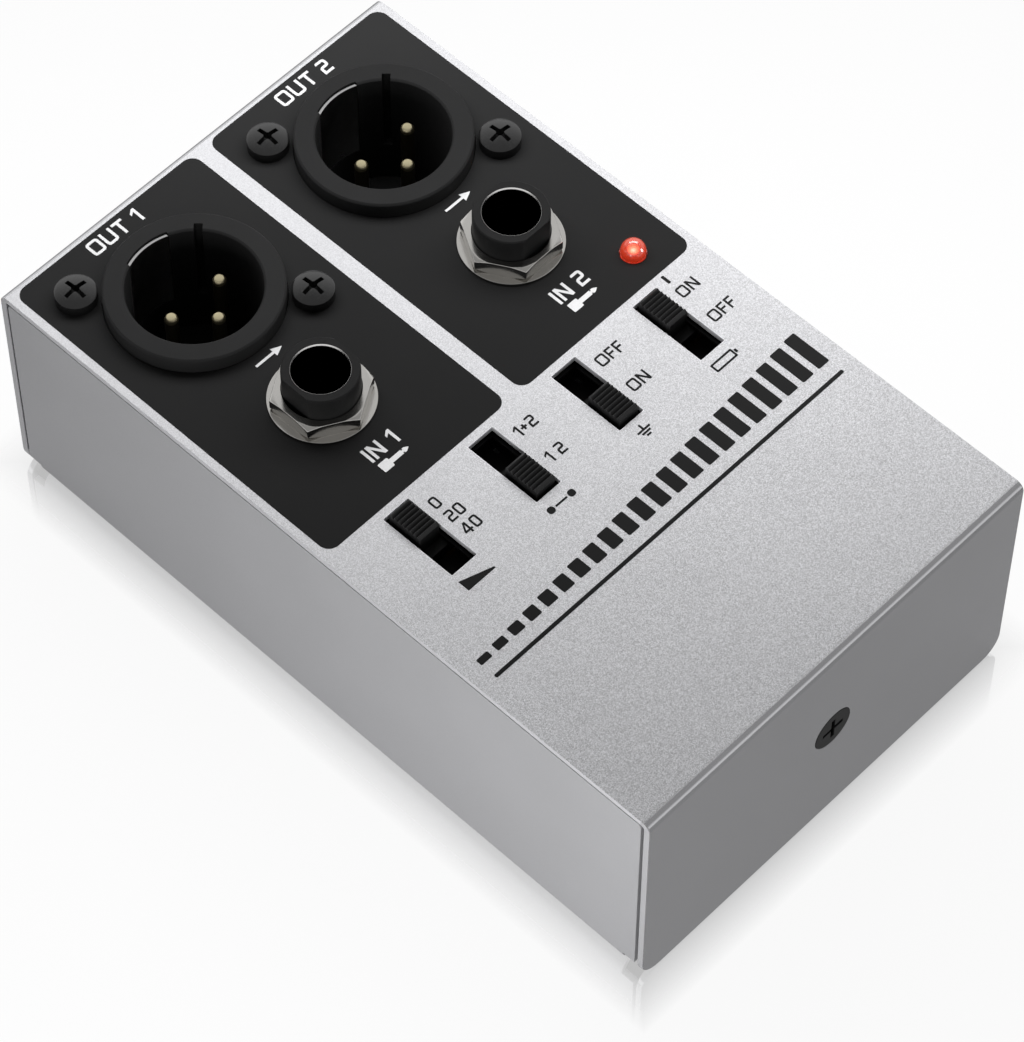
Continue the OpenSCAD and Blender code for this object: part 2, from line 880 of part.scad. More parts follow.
module switch_board() {
    color("#2f6b3c")
        difference() {
            translate([-board_w / 2, board_front_y, switch_under_z])
                cube([board_w, switch_rear_y - board_front_y, board_t]);
            translate([0, 0, switch_under_z - 1]) {
                header_pin_holes();
                for (i = [0:3])
                    translate([switch_x(i), switch_y, 0])
                        at_contacts()
                            cylinder(h = board_t + 2, d = contact_w + 2 * hole_gap);
                translate([lamp_x, lamp_y, 0])
                    for (side = [-1, 1])
                        translate([side * lamp_wire_x, 0, 0])
                            cylinder(h = board_t + 2, d = lamp_wire_t * sqrt(2) + 2 * fit_gap);
            }
        }
}

// Insulating strips of the headers, under the upper board and on the lower one
module board_headers() {
    hole = header_pin_t + 2 * fit_gap;
    color("#222224")
        for (z = [main_top_z, switch_under_z - header_t])
            translate([0, 0, z])
                difference() {
                    union() {
                        translate([0, rear_header_y, 0])
                            block([REAR_PINS * header_pitch, header_t, header_t]);
                        for (side = [-1, 1])
                            translate([side * side_header_x, switch_y, 0])
                                block([header_t, SIDE_PINS * header_pitch, header_t]);
                    }
                    translate([0, 0, -1])
                        at_header_pins()
                            block([hole, hole, header_t + 2]);
                }
}

module header_pins() {
    color("gold")
        translate([0, 0, tail_z])
            at_header_pins()
                block([header_pin_t, header_pin_t, switch_top_z - tail_z]);
}

// Components on the main board, in the space under the switch board

chip_l = 9.8;
chip_w = 6.4;
chip_t = 3.4;
chip_lift = 0.5;
leg_t = 0.4;
leg_pitch = 2.54;
chip_row = 3.2;
can_row = 4.8;
chip_y = switch_y - chip_row;
can_y = switch_y + can_row;
film_l = 7.2;
film_t = 3.5;
film_h = 7;
film_space = 2.5;
film_x = side_header_x - header_t / 2 - film_space - film_l / 2;
resistor_l = 6.3;
resistor_d = 2.3;
resistor_lead_d = 0.6;
resistor_pitch = 3.2;

module amplifier_chips() {
    notch_d = 1.6;
    color("#1b1b1d")
        for (side = CHANNELS)
            translate([side * switch_pitch / 2, chip_y, main_top_z + chip_lift])
                difference() {
                    block([chip_l, chip_w, chip_t]);
                    translate([-chip_l / 2, 0, chip_t / 2])
                        cylinder(h = chip_t, d = notch_d);
                }
}

module chip_legs() {
    color("silver")
        for (side = CHANNELS, row = [-1, 1], k = [-1.5:1:1.5])
            translate([side * switch_pitch / 2 + k * leg_pitch,
                       chip_y + row * (chip_w + leg_t) / 2, main_top_z])
                block([leg_t * 2, leg_t, chip_lift + chip_t / 2]);
}

module electrolytic_capacitors() {
    groove_z = 1.3;
    groove_h = 0.6;
    groove_d = 0.3;
    can_r = can_d / 2;
    color("#20304a")
        for (side = CHANNELS, step = [0.5, 1.5])
            translate([side * step * switch_pitch, can_y, main_top_z])
                rotate_extrude()
                    polygon([[0, 0], [can_r, 0], [can_r, groove_z],
                             [can_r - groove_d, groove_z + groove_h], [can_r, groove_z + 2 * groove_h],
                             [can_r, can_h - groove_d], [can_r - groove_d, can_h], [0, can_h]]);
}

module film_capacitors() {
    color("#b83a2c")
        for (side = CHANNELS)
            translate([side * film_x, chip_y, main_top_z])
                block([film_l, film_t, film_h]);
}

// Resistors lie across the board between the jacks, held up by their bent leads
module resistors() {
    color("#c8ab7c")
        for (k = [-1, 0, 1])
            translate([0, jack_y + k * resistor_pitch, main_top_z]) {
                translate([0, 0, resistor_d / 2])
                    rotate([0, 90, 0])
                        cylinder(h = resistor_l, d = resistor_d, center = true);
                for (side = [-1, 1])
                    translate([side * (resistor_l / 2 + resistor_lead_d), 0, 0]) {
                        cylinder(h = resistor_d / 2, d = resistor_lead_d);
                        translate([0, 0, resistor_d / 2])
                            rotate([0, -side * 90, 0])
                                translate([0, 0, -resistor_lead_d / 2])
                                    cylinder(h = 2 * resistor_lead_d, d = resistor_lead_d);
                    }
            }
}

// Battery bay

clip_gap = 0.1;
battery_x = -2.4;
battery_y = case_screw_l + battery_gap + clip_t + clip_gap + battery_t / 2 - case_l / 2;
battery_z = sheet_t + clip_t;
terminal_l = 2.1;
terminal_pitch = 12.7;
small_terminal_d = 5.6;
large_terminal_d = 8;
snap_t = 4.4;
snap_w = 12;
snap_h = 25;
terminal_z = battery_z + battery_h / 2;
snap_x = battery_x + battery_l / 2;
lead_bend_r = 2.4;
lead_rise = 3.4;
lead_z = main_top_z + lead_rise;
lead_step = 1.8;
pad_inset = 0.4;
foam_l = 30;
foam_w = 14;
battery_edge = 1.5;

module battery() {
    color("#3b5f8f")
        translate([battery_x, battery_y, battery_z])
            extrude_x(battery_l)
                intersection() {
                    arch_outline(battery_t, battery_h, battery_edge);
                    translate([0, battery_h])
                        mirror([0, 1])
                            arch_outline(battery_t, battery_h, battery_edge);
                }
}

// Places the children, drawn pointing along +X, at the two terminals of the battery
module at_terminals() {
    for (side = [-1, 1])
        translate([snap_x, battery_y, terminal_z + side * terminal_pitch / 2])
            rotate([0, 90, 0])
                children(side < 0 ? 0 : 1);
}

module battery_terminals() {
    color("gainsboro")
        at_terminals() {
            cylinder(h = terminal_l, d = small_terminal_d);
            cylinder(h = terminal_l, d = large_terminal_d, $fn = 6);
        }
}

module battery_snap() {
    color("#1a1a1c")
        difference() {
            translate([snap_x + slide_gap + snap_t / 2, battery_y, terminal_z - snap_h / 2])
                block([snap_t, snap_w, snap_h]);
            at_terminals() {
                cylinder(h = terminal_l + slide_gap, d = small_terminal_d + 2 * fit_gap);
                cylinder(h = terminal_l + slide_gap, d = large_terminal_d + 2 * fit_gap, $fn = 6);
            }
        }
}

// A lead leaves the end of the snap, runs over the board's edge and turns down to its pad
module battery_lead(step) {
    start_y = battery_y + snap_w / 2;
    pad_y = board_front_y + lead_d + pad_inset;
    run = pad_y - lead_bend_r - start_y;
    translate([snap_x + slide_gap + snap_t / 2 + step * lead_step / 2, start_y, lead_z]) {
        rotate([-90, 0, 0])
            cylinder(h = run, d = lead_d);
        translate([0, run, -lead_bend_r])
            rotate([90, 0, 90])
                rotate_extrude(angle = 90)
                    translate([lead_bend_r, 0])
                        circle(d = lead_d);
        translate([0, run + lead_bend_r, main_top_z - lead_z])
            cylinder(h = lead_z - main_top_z - lead_bend_r, d = lead_d);
    }
}

module battery_lead_red() {
    color("#b3261e")
        battery_lead(-1);
}

module battery_lead_black() {
    color("#18181a")
        battery_lead(1);
}

// Spring clip, welded to the floor of the tray
module battery_clip() {
    width = battery_t + 2 * clip_gap;
    color("lightgray")
        translate([battery_x, battery_y, sheet_t])
            difference() {
                block([clip_w, width + 2 * clip_t, clip_h]);
                translate([0, 0, clip_t])
                    block([clip_w + 1, width, clip_h]);
            }
}

module battery_foam() {
    foot_z = battery_z + battery_h;
    color("#3a3a3c")
        translate([battery_x, battery_y, foot_z])
            block([foam_l, foam_w, under_z - foot_z]);
}

top_cover();
bottom_tray();
case_screws();
clinch_nuts();
xlr_shell(-1);  // xlr_1_shell
xlr_shell(1);  // xlr_2_shell
xlr_pins(-1);  // xlr_1_pins
xlr_pins(1);  // xlr_2_pins
xlr_latch_plate(-1);  // xlr_1_latch_plate
xlr_latch_plate(1);  // xlr_2_latch_plate
xlr_screws();
jack_body(-1);  // jack_1_body
jack_body(1);  // jack_2_body
jack_sleeve(-1);  // jack_1_sleeve
jack_sleeve(1);  // jack_2_sleeve
jack_springs(-1);  // jack_1_springs
jack_springs(1);  // jack_2_springs
jack_nuts();
jack_washers();
lamp_lens();
lamp_wires();
lamp_spacer();
for (i = [0:3]) {
    switch_base(i);
    switch_frame(i);
    knob(i);
    wiper(i);
}
switch_terminals();
main_board();
switch_board();
board_headers();
header_pins();
amplifier_chips();
chip_legs();
electrolytic_capacitors();
film_capacitors();
resistors();
battery();
battery_terminals();
battery_snap();
battery_lead_red();
battery_lead_black();
battery_clip();
battery_foam();
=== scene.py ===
import json
import math

import bmesh
import bpy
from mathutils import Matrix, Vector


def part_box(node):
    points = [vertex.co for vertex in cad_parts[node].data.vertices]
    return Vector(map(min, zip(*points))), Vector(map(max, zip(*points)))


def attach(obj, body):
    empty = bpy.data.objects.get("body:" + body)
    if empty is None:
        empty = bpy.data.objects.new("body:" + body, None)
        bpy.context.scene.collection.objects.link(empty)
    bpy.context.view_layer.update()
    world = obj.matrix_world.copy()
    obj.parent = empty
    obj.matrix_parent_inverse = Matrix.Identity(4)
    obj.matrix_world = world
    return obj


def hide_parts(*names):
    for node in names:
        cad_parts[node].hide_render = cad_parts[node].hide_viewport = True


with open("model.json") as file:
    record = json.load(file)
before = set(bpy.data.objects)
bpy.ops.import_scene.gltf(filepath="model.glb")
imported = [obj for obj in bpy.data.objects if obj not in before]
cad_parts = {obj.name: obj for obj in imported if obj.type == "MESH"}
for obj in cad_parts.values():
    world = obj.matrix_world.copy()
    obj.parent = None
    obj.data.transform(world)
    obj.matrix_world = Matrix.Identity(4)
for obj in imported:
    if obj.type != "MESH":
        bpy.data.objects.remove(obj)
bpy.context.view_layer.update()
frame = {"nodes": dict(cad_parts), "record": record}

# Bottom tray: the lower half of the case, folded from 0.8 mm steel sheet and sprayed a smooth
# satin grey. Its two sides close up to the cover with a hairline seam, and its end tabs take the
# end screws.

MM = 0.001
SMOOTH_ANGLE = math.radians(32)
FLAT_ANGLE = math.radians(1)
MERGE = 0.001 * MM
FLAT_WEIGHT = 100
SHEET_EDGE_R = 0.14 * MM
SEAM_CLOSED = 0.1 * MM

bodies = frame["record"]["behaviour"]["bodies"]
body_of = {node: body for body, members in bodies.items() for node in members}


class Wire:
    """A shader socket. Sums and products of wires and numbers add Math nodes to the material."""

    def __init__(self, socket):
        self.socket = socket
        self.tree = socket.id_data

    def node(self, kind, settings, sockets, output=0):
        made = self.tree.nodes.new(kind)
        for name, value in settings.items():
            if name == "stops":
                ramp = made.color_ramp
                ramp.interpolation = "CONSTANT"
                ramp.elements.remove(ramp.elements[1])
                ramp.elements[0].color = value[0][1]
                for spot, colour in value[1:]:
                    ramp.elements.new(spot).color = colour
            else:
                setattr(made, name, value)
        for name, value in sockets.items():
            if isinstance(value, Wire):
                self.tree.links.new(value.socket, made.inputs[name])
            else:
                made.inputs[name].default_value = value
        return Wire(made.outputs[output])

    def maths(self, operation, *values):
        return self.node("ShaderNodeMath", {"operation": operation}, dict(enumerate(values)))

    def __add__(self, other):
        return self.maths("ADD", self, other)

    def __radd__(self, other):
        return self.maths("ADD", other, self)

    def __sub__(self, other):
        return self.maths("SUBTRACT", self, other)

    def __rsub__(self, other):
        return self.maths("SUBTRACT", other, self)

    def __mul__(self, other):
        return self.maths("MULTIPLY", self, other)

    def __rmul__(self, other):
        return self.maths("MULTIPLY", other, self)


def new_finish(name, constants):
    """A material, its Principled shader with the given constants, and its Object coordinates."""
    finish = bpy.data.materials.new(name)
    finish.use_nodes = True
    shader = finish.node_tree.nodes["Principled BSDF"]
    for socket, value in constants.items():
        shader.inputs[socket].default_value = value
    coordinates = finish.node_tree.nodes.new("ShaderNodeTexCoord")
    return finish, shader, Wire(coordinates.outputs["Object"])


def feed(shader, wires):
    """Links each wire to the shader's socket that it is named for."""
    for socket, wire in wires.items():
        shader.id_data.links.new(wire.socket, shader.inputs[socket])


def noise(place, grain, detail=2.0):
    """Noise from 0 to 1 whose lumps are about grain metres across."""
    return place.node("ShaderNodeTexNoise", {}, {"Vector": place, "Scale": 1 / grain, "Detail": detail})


def tint(share, low, high):
    """The colour between two colours where share runs from 0 to 1."""
    return share.node("ShaderNodeMix", {"data_type": "RGBA"}, {0: share, 6: low, 7: high}, output=2)


def bump(height, depth):
    """The normal of a surface whose height runs over depth metres."""
    return height.node("ShaderNodeBump", {}, {"Height": height, "Strength": 1.0, "Distance": depth})


def cool(level):
    """A grey with a trace of blue."""
    return (level, level, level * 1.03, 1.0)


def pick(piece):
    """Makes one object the only selected and active one."""
    bpy.ops.object.select_all(action="DESELECT")
    piece.select_set(True)
    bpy.context.view_layer.objects.active = piece


def settle(piece, finish, node):
    """Gives a finished piece its material and puts it in a node's place, on the node's body."""
    piece.data.materials.clear()
    piece.data.materials.append(finish)
    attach(piece, body_of[node])
    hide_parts(node)


def apply_modifier(piece, kind, **settings):
    """Adds one modifier to a piece and applies it."""
    pick(piece)
    modifier = piece.modifiers.new(kind.lower(), kind)
    for name, value in settings.items():
        setattr(modifier, name, value)
    bpy.ops.object.modifier_apply(modifier=modifier.name)


def round_edges(piece, edge_r, steps):
    """Rounds a piece's sharp edges and keeps its flat faces flat in the shading."""
    apply_modifier(piece, "BEVEL", width=edge_r, segments=steps, limit_method="ANGLE",
                   angle_limit=SMOOTH_ANGLE, use_clamp_overlap=True)
    bpy.ops.object.shade_smooth_by_angle(angle=SMOOTH_ANGLE)
    apply_modifier(piece, "WEIGHTED_NORMAL", mode="FACE_AREA", weight=FLAT_WEIGHT, keep_sharp=True)


def merged_copy(node, name):
    """A copy of a node's mesh as a piece of its own, its loose triangles merged into faces."""
    piece = bpy.data.objects.new(name, frame["nodes"][node].data.copy())
    bpy.context.scene.collection.objects.link(piece)
    pick(piece)
    bpy.ops.object.mode_set(mode="EDIT")
    bpy.ops.mesh.select_all(action="SELECT")
    bpy.ops.mesh.customdata_custom_splitnormals_clear()
    bpy.ops.mesh.remove_doubles(threshold=MERGE)
    bpy.ops.mesh.dissolve_limited(angle_limit=FLAT_ANGLE)
    bpy.ops.object.mode_set(mode="OBJECT")
    return piece


def rounded(node, finish, edge_r, steps=2):
    """Shows a node as a copy of itself with its sharp edges rounded."""
    piece = merged_copy(node, node + "_rounded")
    round_edges(piece, edge_r, steps)
    settle(piece, finish, node)
    return piece


grey_paint, shader, place = new_finish("grey_paint", {
    "Specular IOR Level": 0.25, "Coat Weight": 0.06, "Coat Roughness": 0.25})
cloud = noise(place, 14 * MM)
speck = noise(place, 0.16 * MM)
feed(shader, {
    "Base Color": tint(0.55 * cloud + 0.45 * speck, cool(0.36), cool(0.43)),
    "Roughness": 0.42 + 0.1 * cloud,
    "Normal": bump(speck, 0.002 * MM),
})
tray = rounded("bottom_tray", grey_paint, SHEET_EDGE_R)
tray_rim = max(vertex.co.z for vertex in tray.data.vertices)
for vertex in tray.data.vertices:
    if vertex.co.z > tray_rim - 2 * SHEET_EDGE_R:
        vertex.co.z += SEAM_CLOSED

# Clinch nuts and battery clip: small parts of zinc-plated steel, pressed or spot-welded to the
# tray, with the cloudy grey of bright zinc. The battery's two snap terminals are plated alike.


def plated(name, dull, bright, roughness):
    """Plated metal: cloudy colour, fine rubbing marks and a slightly uneven gloss."""
    finish, shader, place = new_finish(name, {"Metallic": 1.0})
    cloud = noise(place, 2.5 * MM)
    rub = noise(place, 0.08 * MM, 3.0)
    feed(shader, {
        "Base Color": tint(0.6 * cloud + 0.4 * rub, dull, bright),
        "Roughness": roughness + 0.12 * cloud,
        "Normal": bump(rub, 0.001 * MM),
    })
    return finish


def dress(finish, *names):
    """Gives CAD nodes that keep their shape their finish."""
    for name in names:
        for slot in frame["nodes"][name].material_slots:
            slot.material = finish


zinc = plated("zinc_steel", (0.50, 0.50, 0.49, 1), (0.68, 0.69, 0.70, 1), 0.28)
dress(zinc, "clinch_nuts", "battery_clip", "battery_terminals")

# Circuit boards: two glass-epoxy boards with green solder mask. The lower one carries the sockets
# and the amplifier, the upper one the switches and the lamp; three pin headers join them.

board_finish, shader, place = new_finish("board", {"Coat Weight": 0.4, "Coat Roughness": 0.15})
weave = place.node("ShaderNodeTexBrick", {}, {"Vector": place, "Scale": 420.0, "Mortar Size": 0.012})
tracks = place.node("ShaderNodeTexVoronoi", {"feature": "DISTANCE_TO_EDGE"},
                    {"Vector": place, "Scale": 260.0})
lines = tracks.maths("LESS_THAN", tracks, 0.08)
feed(shader, {
    "Base Color": tint(lines, (0.010, 0.085, 0.030, 1), (0.030, 0.160, 0.060, 1)),
    "Roughness": 0.32 + 0.1 * noise(place, 0.4 * MM),
    "Normal": bump(lines + 0.1 * weave, 0.02 * MM),
})
dress(board_finish, "main_board", "switch_board")


def moulded(name, dark, light, roughness, grain=0.12 * MM, gloss=0.35):
    """Moulded plastic: a fine spark-eroded grain with a little unevenness in tone and gloss."""
    finish, shader, place = new_finish(name, {"Specular IOR Level": gloss})
    cloud = noise(place, 4 * MM)
    skin = noise(place, grain, 3.0)
    feed(shader, {
        "Base Color": tint(0.5 * cloud + 0.5 * skin, dark, light),
        "Roughness": roughness + 0.1 * skin,
        "Normal": bump(skin, 0.003 * MM),
    })
    return finish


def grey(level):
    """A plain grey."""
    return (level, level, level * 1.01, 1.0)


black_plastic = moulded("black_plastic", grey(0.0155), grey(0.022), 0.45, gloss=0.05)
gilt = plated("pin_plating", (0.62, 0.56, 0.40, 1), (0.76, 0.70, 0.53, 1), 0.26)
dress(black_plastic, "board_headers")
dress(gilt, "header_pins")

# Amplifier parts: two epoxy chips on tinned legs, four electrolytic cans in shrink sleeves with a
# pale stripe, two dipped film capacitors and three banded resistors, all soldered to the board.

dress(moulded("chip_black", grey(0.012), grey(0.022), 0.55), "amplifier_chips")
tinned = plated("tinned_wire", (0.55, 0.55, 0.54, 1), (0.74, 0.74, 0.74, 1), 0.3)
dress(tinned, "chip_legs")

can_low, can_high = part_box("electrolytic_capacitors")
STRIPE_SHARE = 0.2
sleeve, shader, place = new_finish("can_sleeve", {"Coat Weight": 0.3})
along = place.node("ShaderNodeSeparateXYZ", {}, {"Vector": place}, output=1)
stripe = along.maths("LESS_THAN", along, can_low.y + STRIPE_SHARE * (can_high.y - can_low.y))
feed(shader, {
    "Base Color": tint(stripe, (0.012, 0.022, 0.060, 1), (0.55, 0.56, 0.58, 1)),
    "Roughness": 0.3 + 0.15 * noise(place, 1.5 * MM),
})
dress(sleeve, "electrolytic_capacitors")

dress(moulded("film_red", (0.22, 0.035, 0.02, 1), (0.34, 0.06, 0.035, 1), 0.35, 0.5 * MM),
      "film_capacitors")

resistor_low, resistor_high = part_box("resistors")
BANDS = [(0.0, (0.60, 0.44, 0.24, 1)), (0.30, (0.12, 0.04, 0.02, 1)), (0.36, (0.60, 0.44, 0.24, 1)),
         (0.45, (0.01, 0.01, 0.01, 1)), (0.51, (0.60, 0.44, 0.24, 1)), (0.62, (0.50, 0.05, 0.02, 1)),
         (0.68, (0.60, 0.44, 0.24, 1))]
tan, shader, place = new_finish("resistor_tan", {})
across = place.node("ShaderNodeSeparateXYZ", {}, {"Vector": place}, output=0)
share = (across - resistor_low.x) * (1 / (resistor_high.x - resistor_low.x))
feed(shader, {
    "Base Color": share.node("ShaderNodeValToRGB", {"stops": BANDS}, {0: share}),
    "Roughness": 0.35 + 0.2 * noise(place, 0.6 * MM),
})
dress(tan, "resistors")

# Battery bay: a nine-volt block in a printed steel jacket, a soft snap connector with two thin
# leads to the board, and a strip of foam that keeps the block from rattling under the cover.

battery_low, battery_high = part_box("battery")
JACKET = [(0.0, (0.010, 0.030, 0.085, 1)), (0.70, (0.60, 0.36, 0.12, 1)), (0.74, (0.010, 0.012, 0.018, 1))]
jacket, shader, place = new_finish("battery_jacket", {"Metallic": 0.5, "Coat Weight": 0.3})
across = place.node("ShaderNodeSeparateXYZ", {}, {"Vector": place}, output=0)
share = (across - battery_low.x) * (1 / (battery_high.x - battery_low.x))
feed(shader, {
    "Base Color": share.node("ShaderNodeValToRGB", {"stops": JACKET}, {0: share}),
    "Roughness": 0.25 + 0.15 * noise(place, 3 * MM),
})
dress(jacket, "battery")
dress(black_plastic, "battery_snap")
dress(moulded("lead_red", (0.32, 0.012, 0.010, 1), (0.42, 0.020, 0.016, 1), 0.38), "battery_lead_red")
dress(moulded("lead_black", grey(0.010), grey(0.018), 0.38), "battery_lead_black")

foam, shader, place = new_finish("foam", {})
cells = place.node("ShaderNodeTexVoronoi", {}, {"Vector": place, "Scale": 1400.0})
feed(shader, {
    "Base Color": tint(cells, grey(0.012), grey(0.05)),
    "Roughness": 0.85 + 0.1 * cells,
    "Normal": bump(cells, 0.3 * MM),
})
dress(foam, "battery_foam")

# Slide switches: black phenolic bases with tinned terminals, black steel frames crimped round
# them, bronze contact strips under the knobs, and black knobs with seven finger ridges. A painted
# highlight lightens the ridge crests, and painted shade darkens the knobs down towards the foot.


def clamp(wire):
    """The wire kept from 0 to 1."""
    return wire.node("ShaderNodeClamp", {}, {"Value": wire})


phenolic, shader, place = new_finish("phenolic", {"Specular IOR Level": 0.2})
fibre = noise(place, 0.5 * MM, 6.0)
feed(shader, {
    "Base Color": tint(fibre, (0.004, 0.003, 0.003, 1), (0.009, 0.007, 0.007, 1)),
    "Roughness": 0.5 + 0.2 * fibre,
    "Normal": bump(fibre, 0.01 * MM),
})
bronze = plated("spring_bronze", (0.55, 0.36, 0.16, 1), (0.72, 0.50, 0.24, 1), 0.3)

black_steel, shader, place = new_finish("black_steel", {"Specular IOR Level": 0.15})
film = noise(place, 1.2 * MM)
rub = noise(place, 0.1 * MM, 3.0)
feed(shader, {
    "Base Color": tint(0.5 * film + 0.5 * rub, grey(0.005), grey(0.010)),
    "Roughness": 0.3 + 0.12 * rub,
    "Normal": bump(rub, 0.002 * MM),
})

SWITCHES = ("attenuation", "mode", "ground", "battery")
KNOB_EDGE_R = 0.05 * MM
RIDGE_H = 0.45 * MM
FACE_H = 2.6 * MM
knob_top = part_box("mode_knob")[1].z
knob_black, shader, place = new_finish("switch_knob", {"Specular IOR Level": 0.2})
rise = place.node("ShaderNodeSeparateXYZ", {}, {"Vector": place}, output=2)
# Painted light on the knobs: the crests are painted lighter as a highlight, and the colour darkens down the
# foot as painted shade in the slot.
painted_crest_highlight = clamp(1 - (knob_top - rise) * (1 / RIDGE_H))
painted_shade_by_depth = clamp(1 - (knob_top - rise) * (1 / FACE_H))
skin = noise(place, 0.12 * MM, 3.0)
feed(shader, {
    "Base Color": tint(0.45 * painted_crest_highlight + 0.35 * painted_shade_by_depth + 0.2 * skin * painted_shade_by_depth, grey(0.001), grey(0.032)),
    "Roughness": 0.38 + 0.1 * skin,
    "Normal": bump(skin, 0.003 * MM),
})
for switch in SWITCHES:
    dress(phenolic, switch + "_switch_base")
    dress(black_steel, switch + "_switch_frame")
    dress(bronze, switch + "_wiper")
    rounded(switch + "_knob", knob_black, KNOB_EDGE_R)
dress(tinned, "switch_terminals")

# Cover: the upper half of the case, one folded sheet with the top face and both ends, punched for
# the sockets, lamp and switches. It is sprayed silver, with a fine metallic grain on the top face,
# smooth metallic bends and ends, and a painted highlight along the rims of the punched holes.

cover_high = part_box("top_cover")[1]
top_z = cover_high.z
GRAIN_DEPTH = 0.05 * MM
SHEET_EDGE_W = 0.15 * MM
RIM_DROP = 0.008 * MM
END_BEND = 1.3 * MM
GRAIN_FADE_Y = 30 * MM
GRAIN_FADE_L = 60 * MM

silver, shader, place = new_finish("silver_paint", {"Specular IOR Level": 0.2})
across = place.node("ShaderNodeSeparateXYZ", {}, {"Vector": place}, output=0)
along = place.node("ShaderNodeSeparateXYZ", {}, {"Vector": place}, output=1)
height = place.node("ShaderNodeSeparateXYZ", {}, {"Vector": place}, output=2)
on_top = height.maths("GREATER_THAN", height, top_z - GRAIN_DEPTH)
on_sheet = across.maths("LESS_THAN", across.maths("ABSOLUTE", across), cover_high.x - SHEET_EDGE_W)
on_end = along.maths("GREATER_THAN", along.maths("ABSOLUTE", along), cover_high.y - END_BEND)
smooth = on_end * (1 - on_top)
coarse = 0.35 + 0.65 * clamp((GRAIN_FADE_Y - along) * (1 / GRAIN_FADE_L))
cloud = noise(place, 11 * MM)
grain = clamp((noise(place, 0.14 * MM, 1.0) - 0.5) * 3.8 + 0.5)
flake = clamp((noise(place, 0.08 * MM, 0.0) - 0.5) * 4.2 + 0.5)
on_edge = smooth * (1 - on_sheet)
below_top = height.maths("LESS_THAN", height, top_z - RIM_DROP)
in_sheet_edge = height.maths("GREATER_THAN", height, top_z - SHEET_EDGE_R)
# Painted highlight: the rounded rims of the holes and slots are painted paler than the top face.
painted_rim_highlight = below_top * in_sheet_edge * (1 - on_end) * on_sheet
sparkle = 0.5 + on_top * coarse * (0.5 * grain + 0.5 * flake - 0.5) - 0.25 * on_edge + 0.5 * painted_rim_highlight
feed(shader, {
    "Base Color": tint(0.9 * sparkle + 0.1 * cloud, cool(0.32), cool(0.78)),
    "Roughness": 0.5 - 0.37 * smooth + 0.05 * cloud,
    "Metallic": 0.8 * smooth * on_sheet,
    "Normal": bump(on_top * grain, 0.004 * MM),
})
rounded("top_cover", silver, SHEET_EDGE_R)

# Printed fields: two matt black panels with round corners, screen-printed on the top face round
# the sockets of each channel, with holes where the sockets, bushings and lamp come through. The
# ink's colour is painted lighter towards the rear right corner, a painted sheen of the light there.

INK_T = 0.02 * MM
INK_CORNER_STEPS = 8
PUNCH_SIDES = 128
PUNCH_H = 4 * MM
FIELD_SIDE_MARGIN = 1.05 * MM
FIELD_REAR_MARGIN = 1.25 * MM
FIELD_SPLIT = 2.3 * MM
FIELD_CORNER_R = 1.5 * MM
FIELD_PAST_JACK = 15.0 * MM
HOLE_GAP = 0.1 * MM
RING_R = 10.4 * MM
BUSHING_R = 4.45 * MM
LENS_R = 1.5 * MM
SHEEN_X = -27.5 * MM
SHEEN_Y = 1 * MM
SHEEN_W = 55 * MM
SHEEN_L = 46 * MM


def middle(node):
    """The middle of a node's box."""
    low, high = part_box(node)
    return (low + high) / 2


def ink_bar(x, y, width, length, corner_r):
    """A flat printed bar with round corners, centred at x, y on the top face."""
    bpy.ops.object.select_all(action="DESELECT")
    bpy.ops.mesh.primitive_plane_add(size=1, location=(x, y, top_z))
    bar = bpy.context.object
    bar.scale = (width, length, 1)
    bpy.ops.object.transform_apply(location=True, rotation=True, scale=True)
    bpy.ops.object.mode_set(mode="EDIT")
    bpy.ops.mesh.select_all(action="SELECT")
    bpy.ops.mesh.bevel(affect="VERTICES", offset=corner_r, segments=INK_CORNER_STEPS)
    bpy.ops.mesh.select_all(action="SELECT")
    bpy.ops.mesh.extrude_region_move(TRANSFORM_OT_translate={"value": (0, 0, INK_T)})
    bpy.ops.mesh.select_all(action="SELECT")
    bpy.ops.mesh.normals_make_consistent(inside=False)
    bpy.ops.object.mode_set(mode="OBJECT")
    return bar


def punch(piece, spot, radius):
    """Cuts a round hole through a flat printed piece."""
    bpy.ops.object.select_all(action="DESELECT")
    bpy.ops.mesh.primitive_cylinder_add(vertices=PUNCH_SIDES, radius=radius, depth=PUNCH_H,
                                        location=(spot.x, spot.y, top_z))
    cutter = bpy.context.object
    apply_modifier(piece, "BOOLEAN", operation="DIFFERENCE", object=cutter, solver="EXACT")
    bpy.data.objects.remove(cutter)


black_ink, shader, place = new_finish("black_ink", {"Specular IOR Level": 0.04})
across = place.node("ShaderNodeSeparateXYZ", {}, {"Vector": place}, output=0)
along = place.node("ShaderNodeSeparateXYZ", {}, {"Vector": place}, output=1)
mist = noise(place, 5 * MM)
tooth = noise(place, 0.2 * MM)
to_right = clamp((across - SHEEN_X) * (1 / SHEEN_W))
to_rear = clamp((along - SHEEN_Y) * (1 / SHEEN_L))
right_part = to_right * to_right
rear_part = to_rear * to_rear
# Painted sheen: the ink, on the fields and on the black legends alike, is painted lighter towards the rear
# right corner, where the lamp hangs.
painted_sheen = 0.23 * right_part + 0.28 * rear_part + 0.49 * right_part * rear_part
feed(shader, {
    "Base Color": tint(0.05 + 0.08 * mist + 0.04 * tooth + 0.9 * painted_sheen, grey(0.0125), grey(0.0278)),
    "Roughness": 0.45 + 0.1 * tooth,
    "Normal": bump(tooth, 0.002 * MM),
})

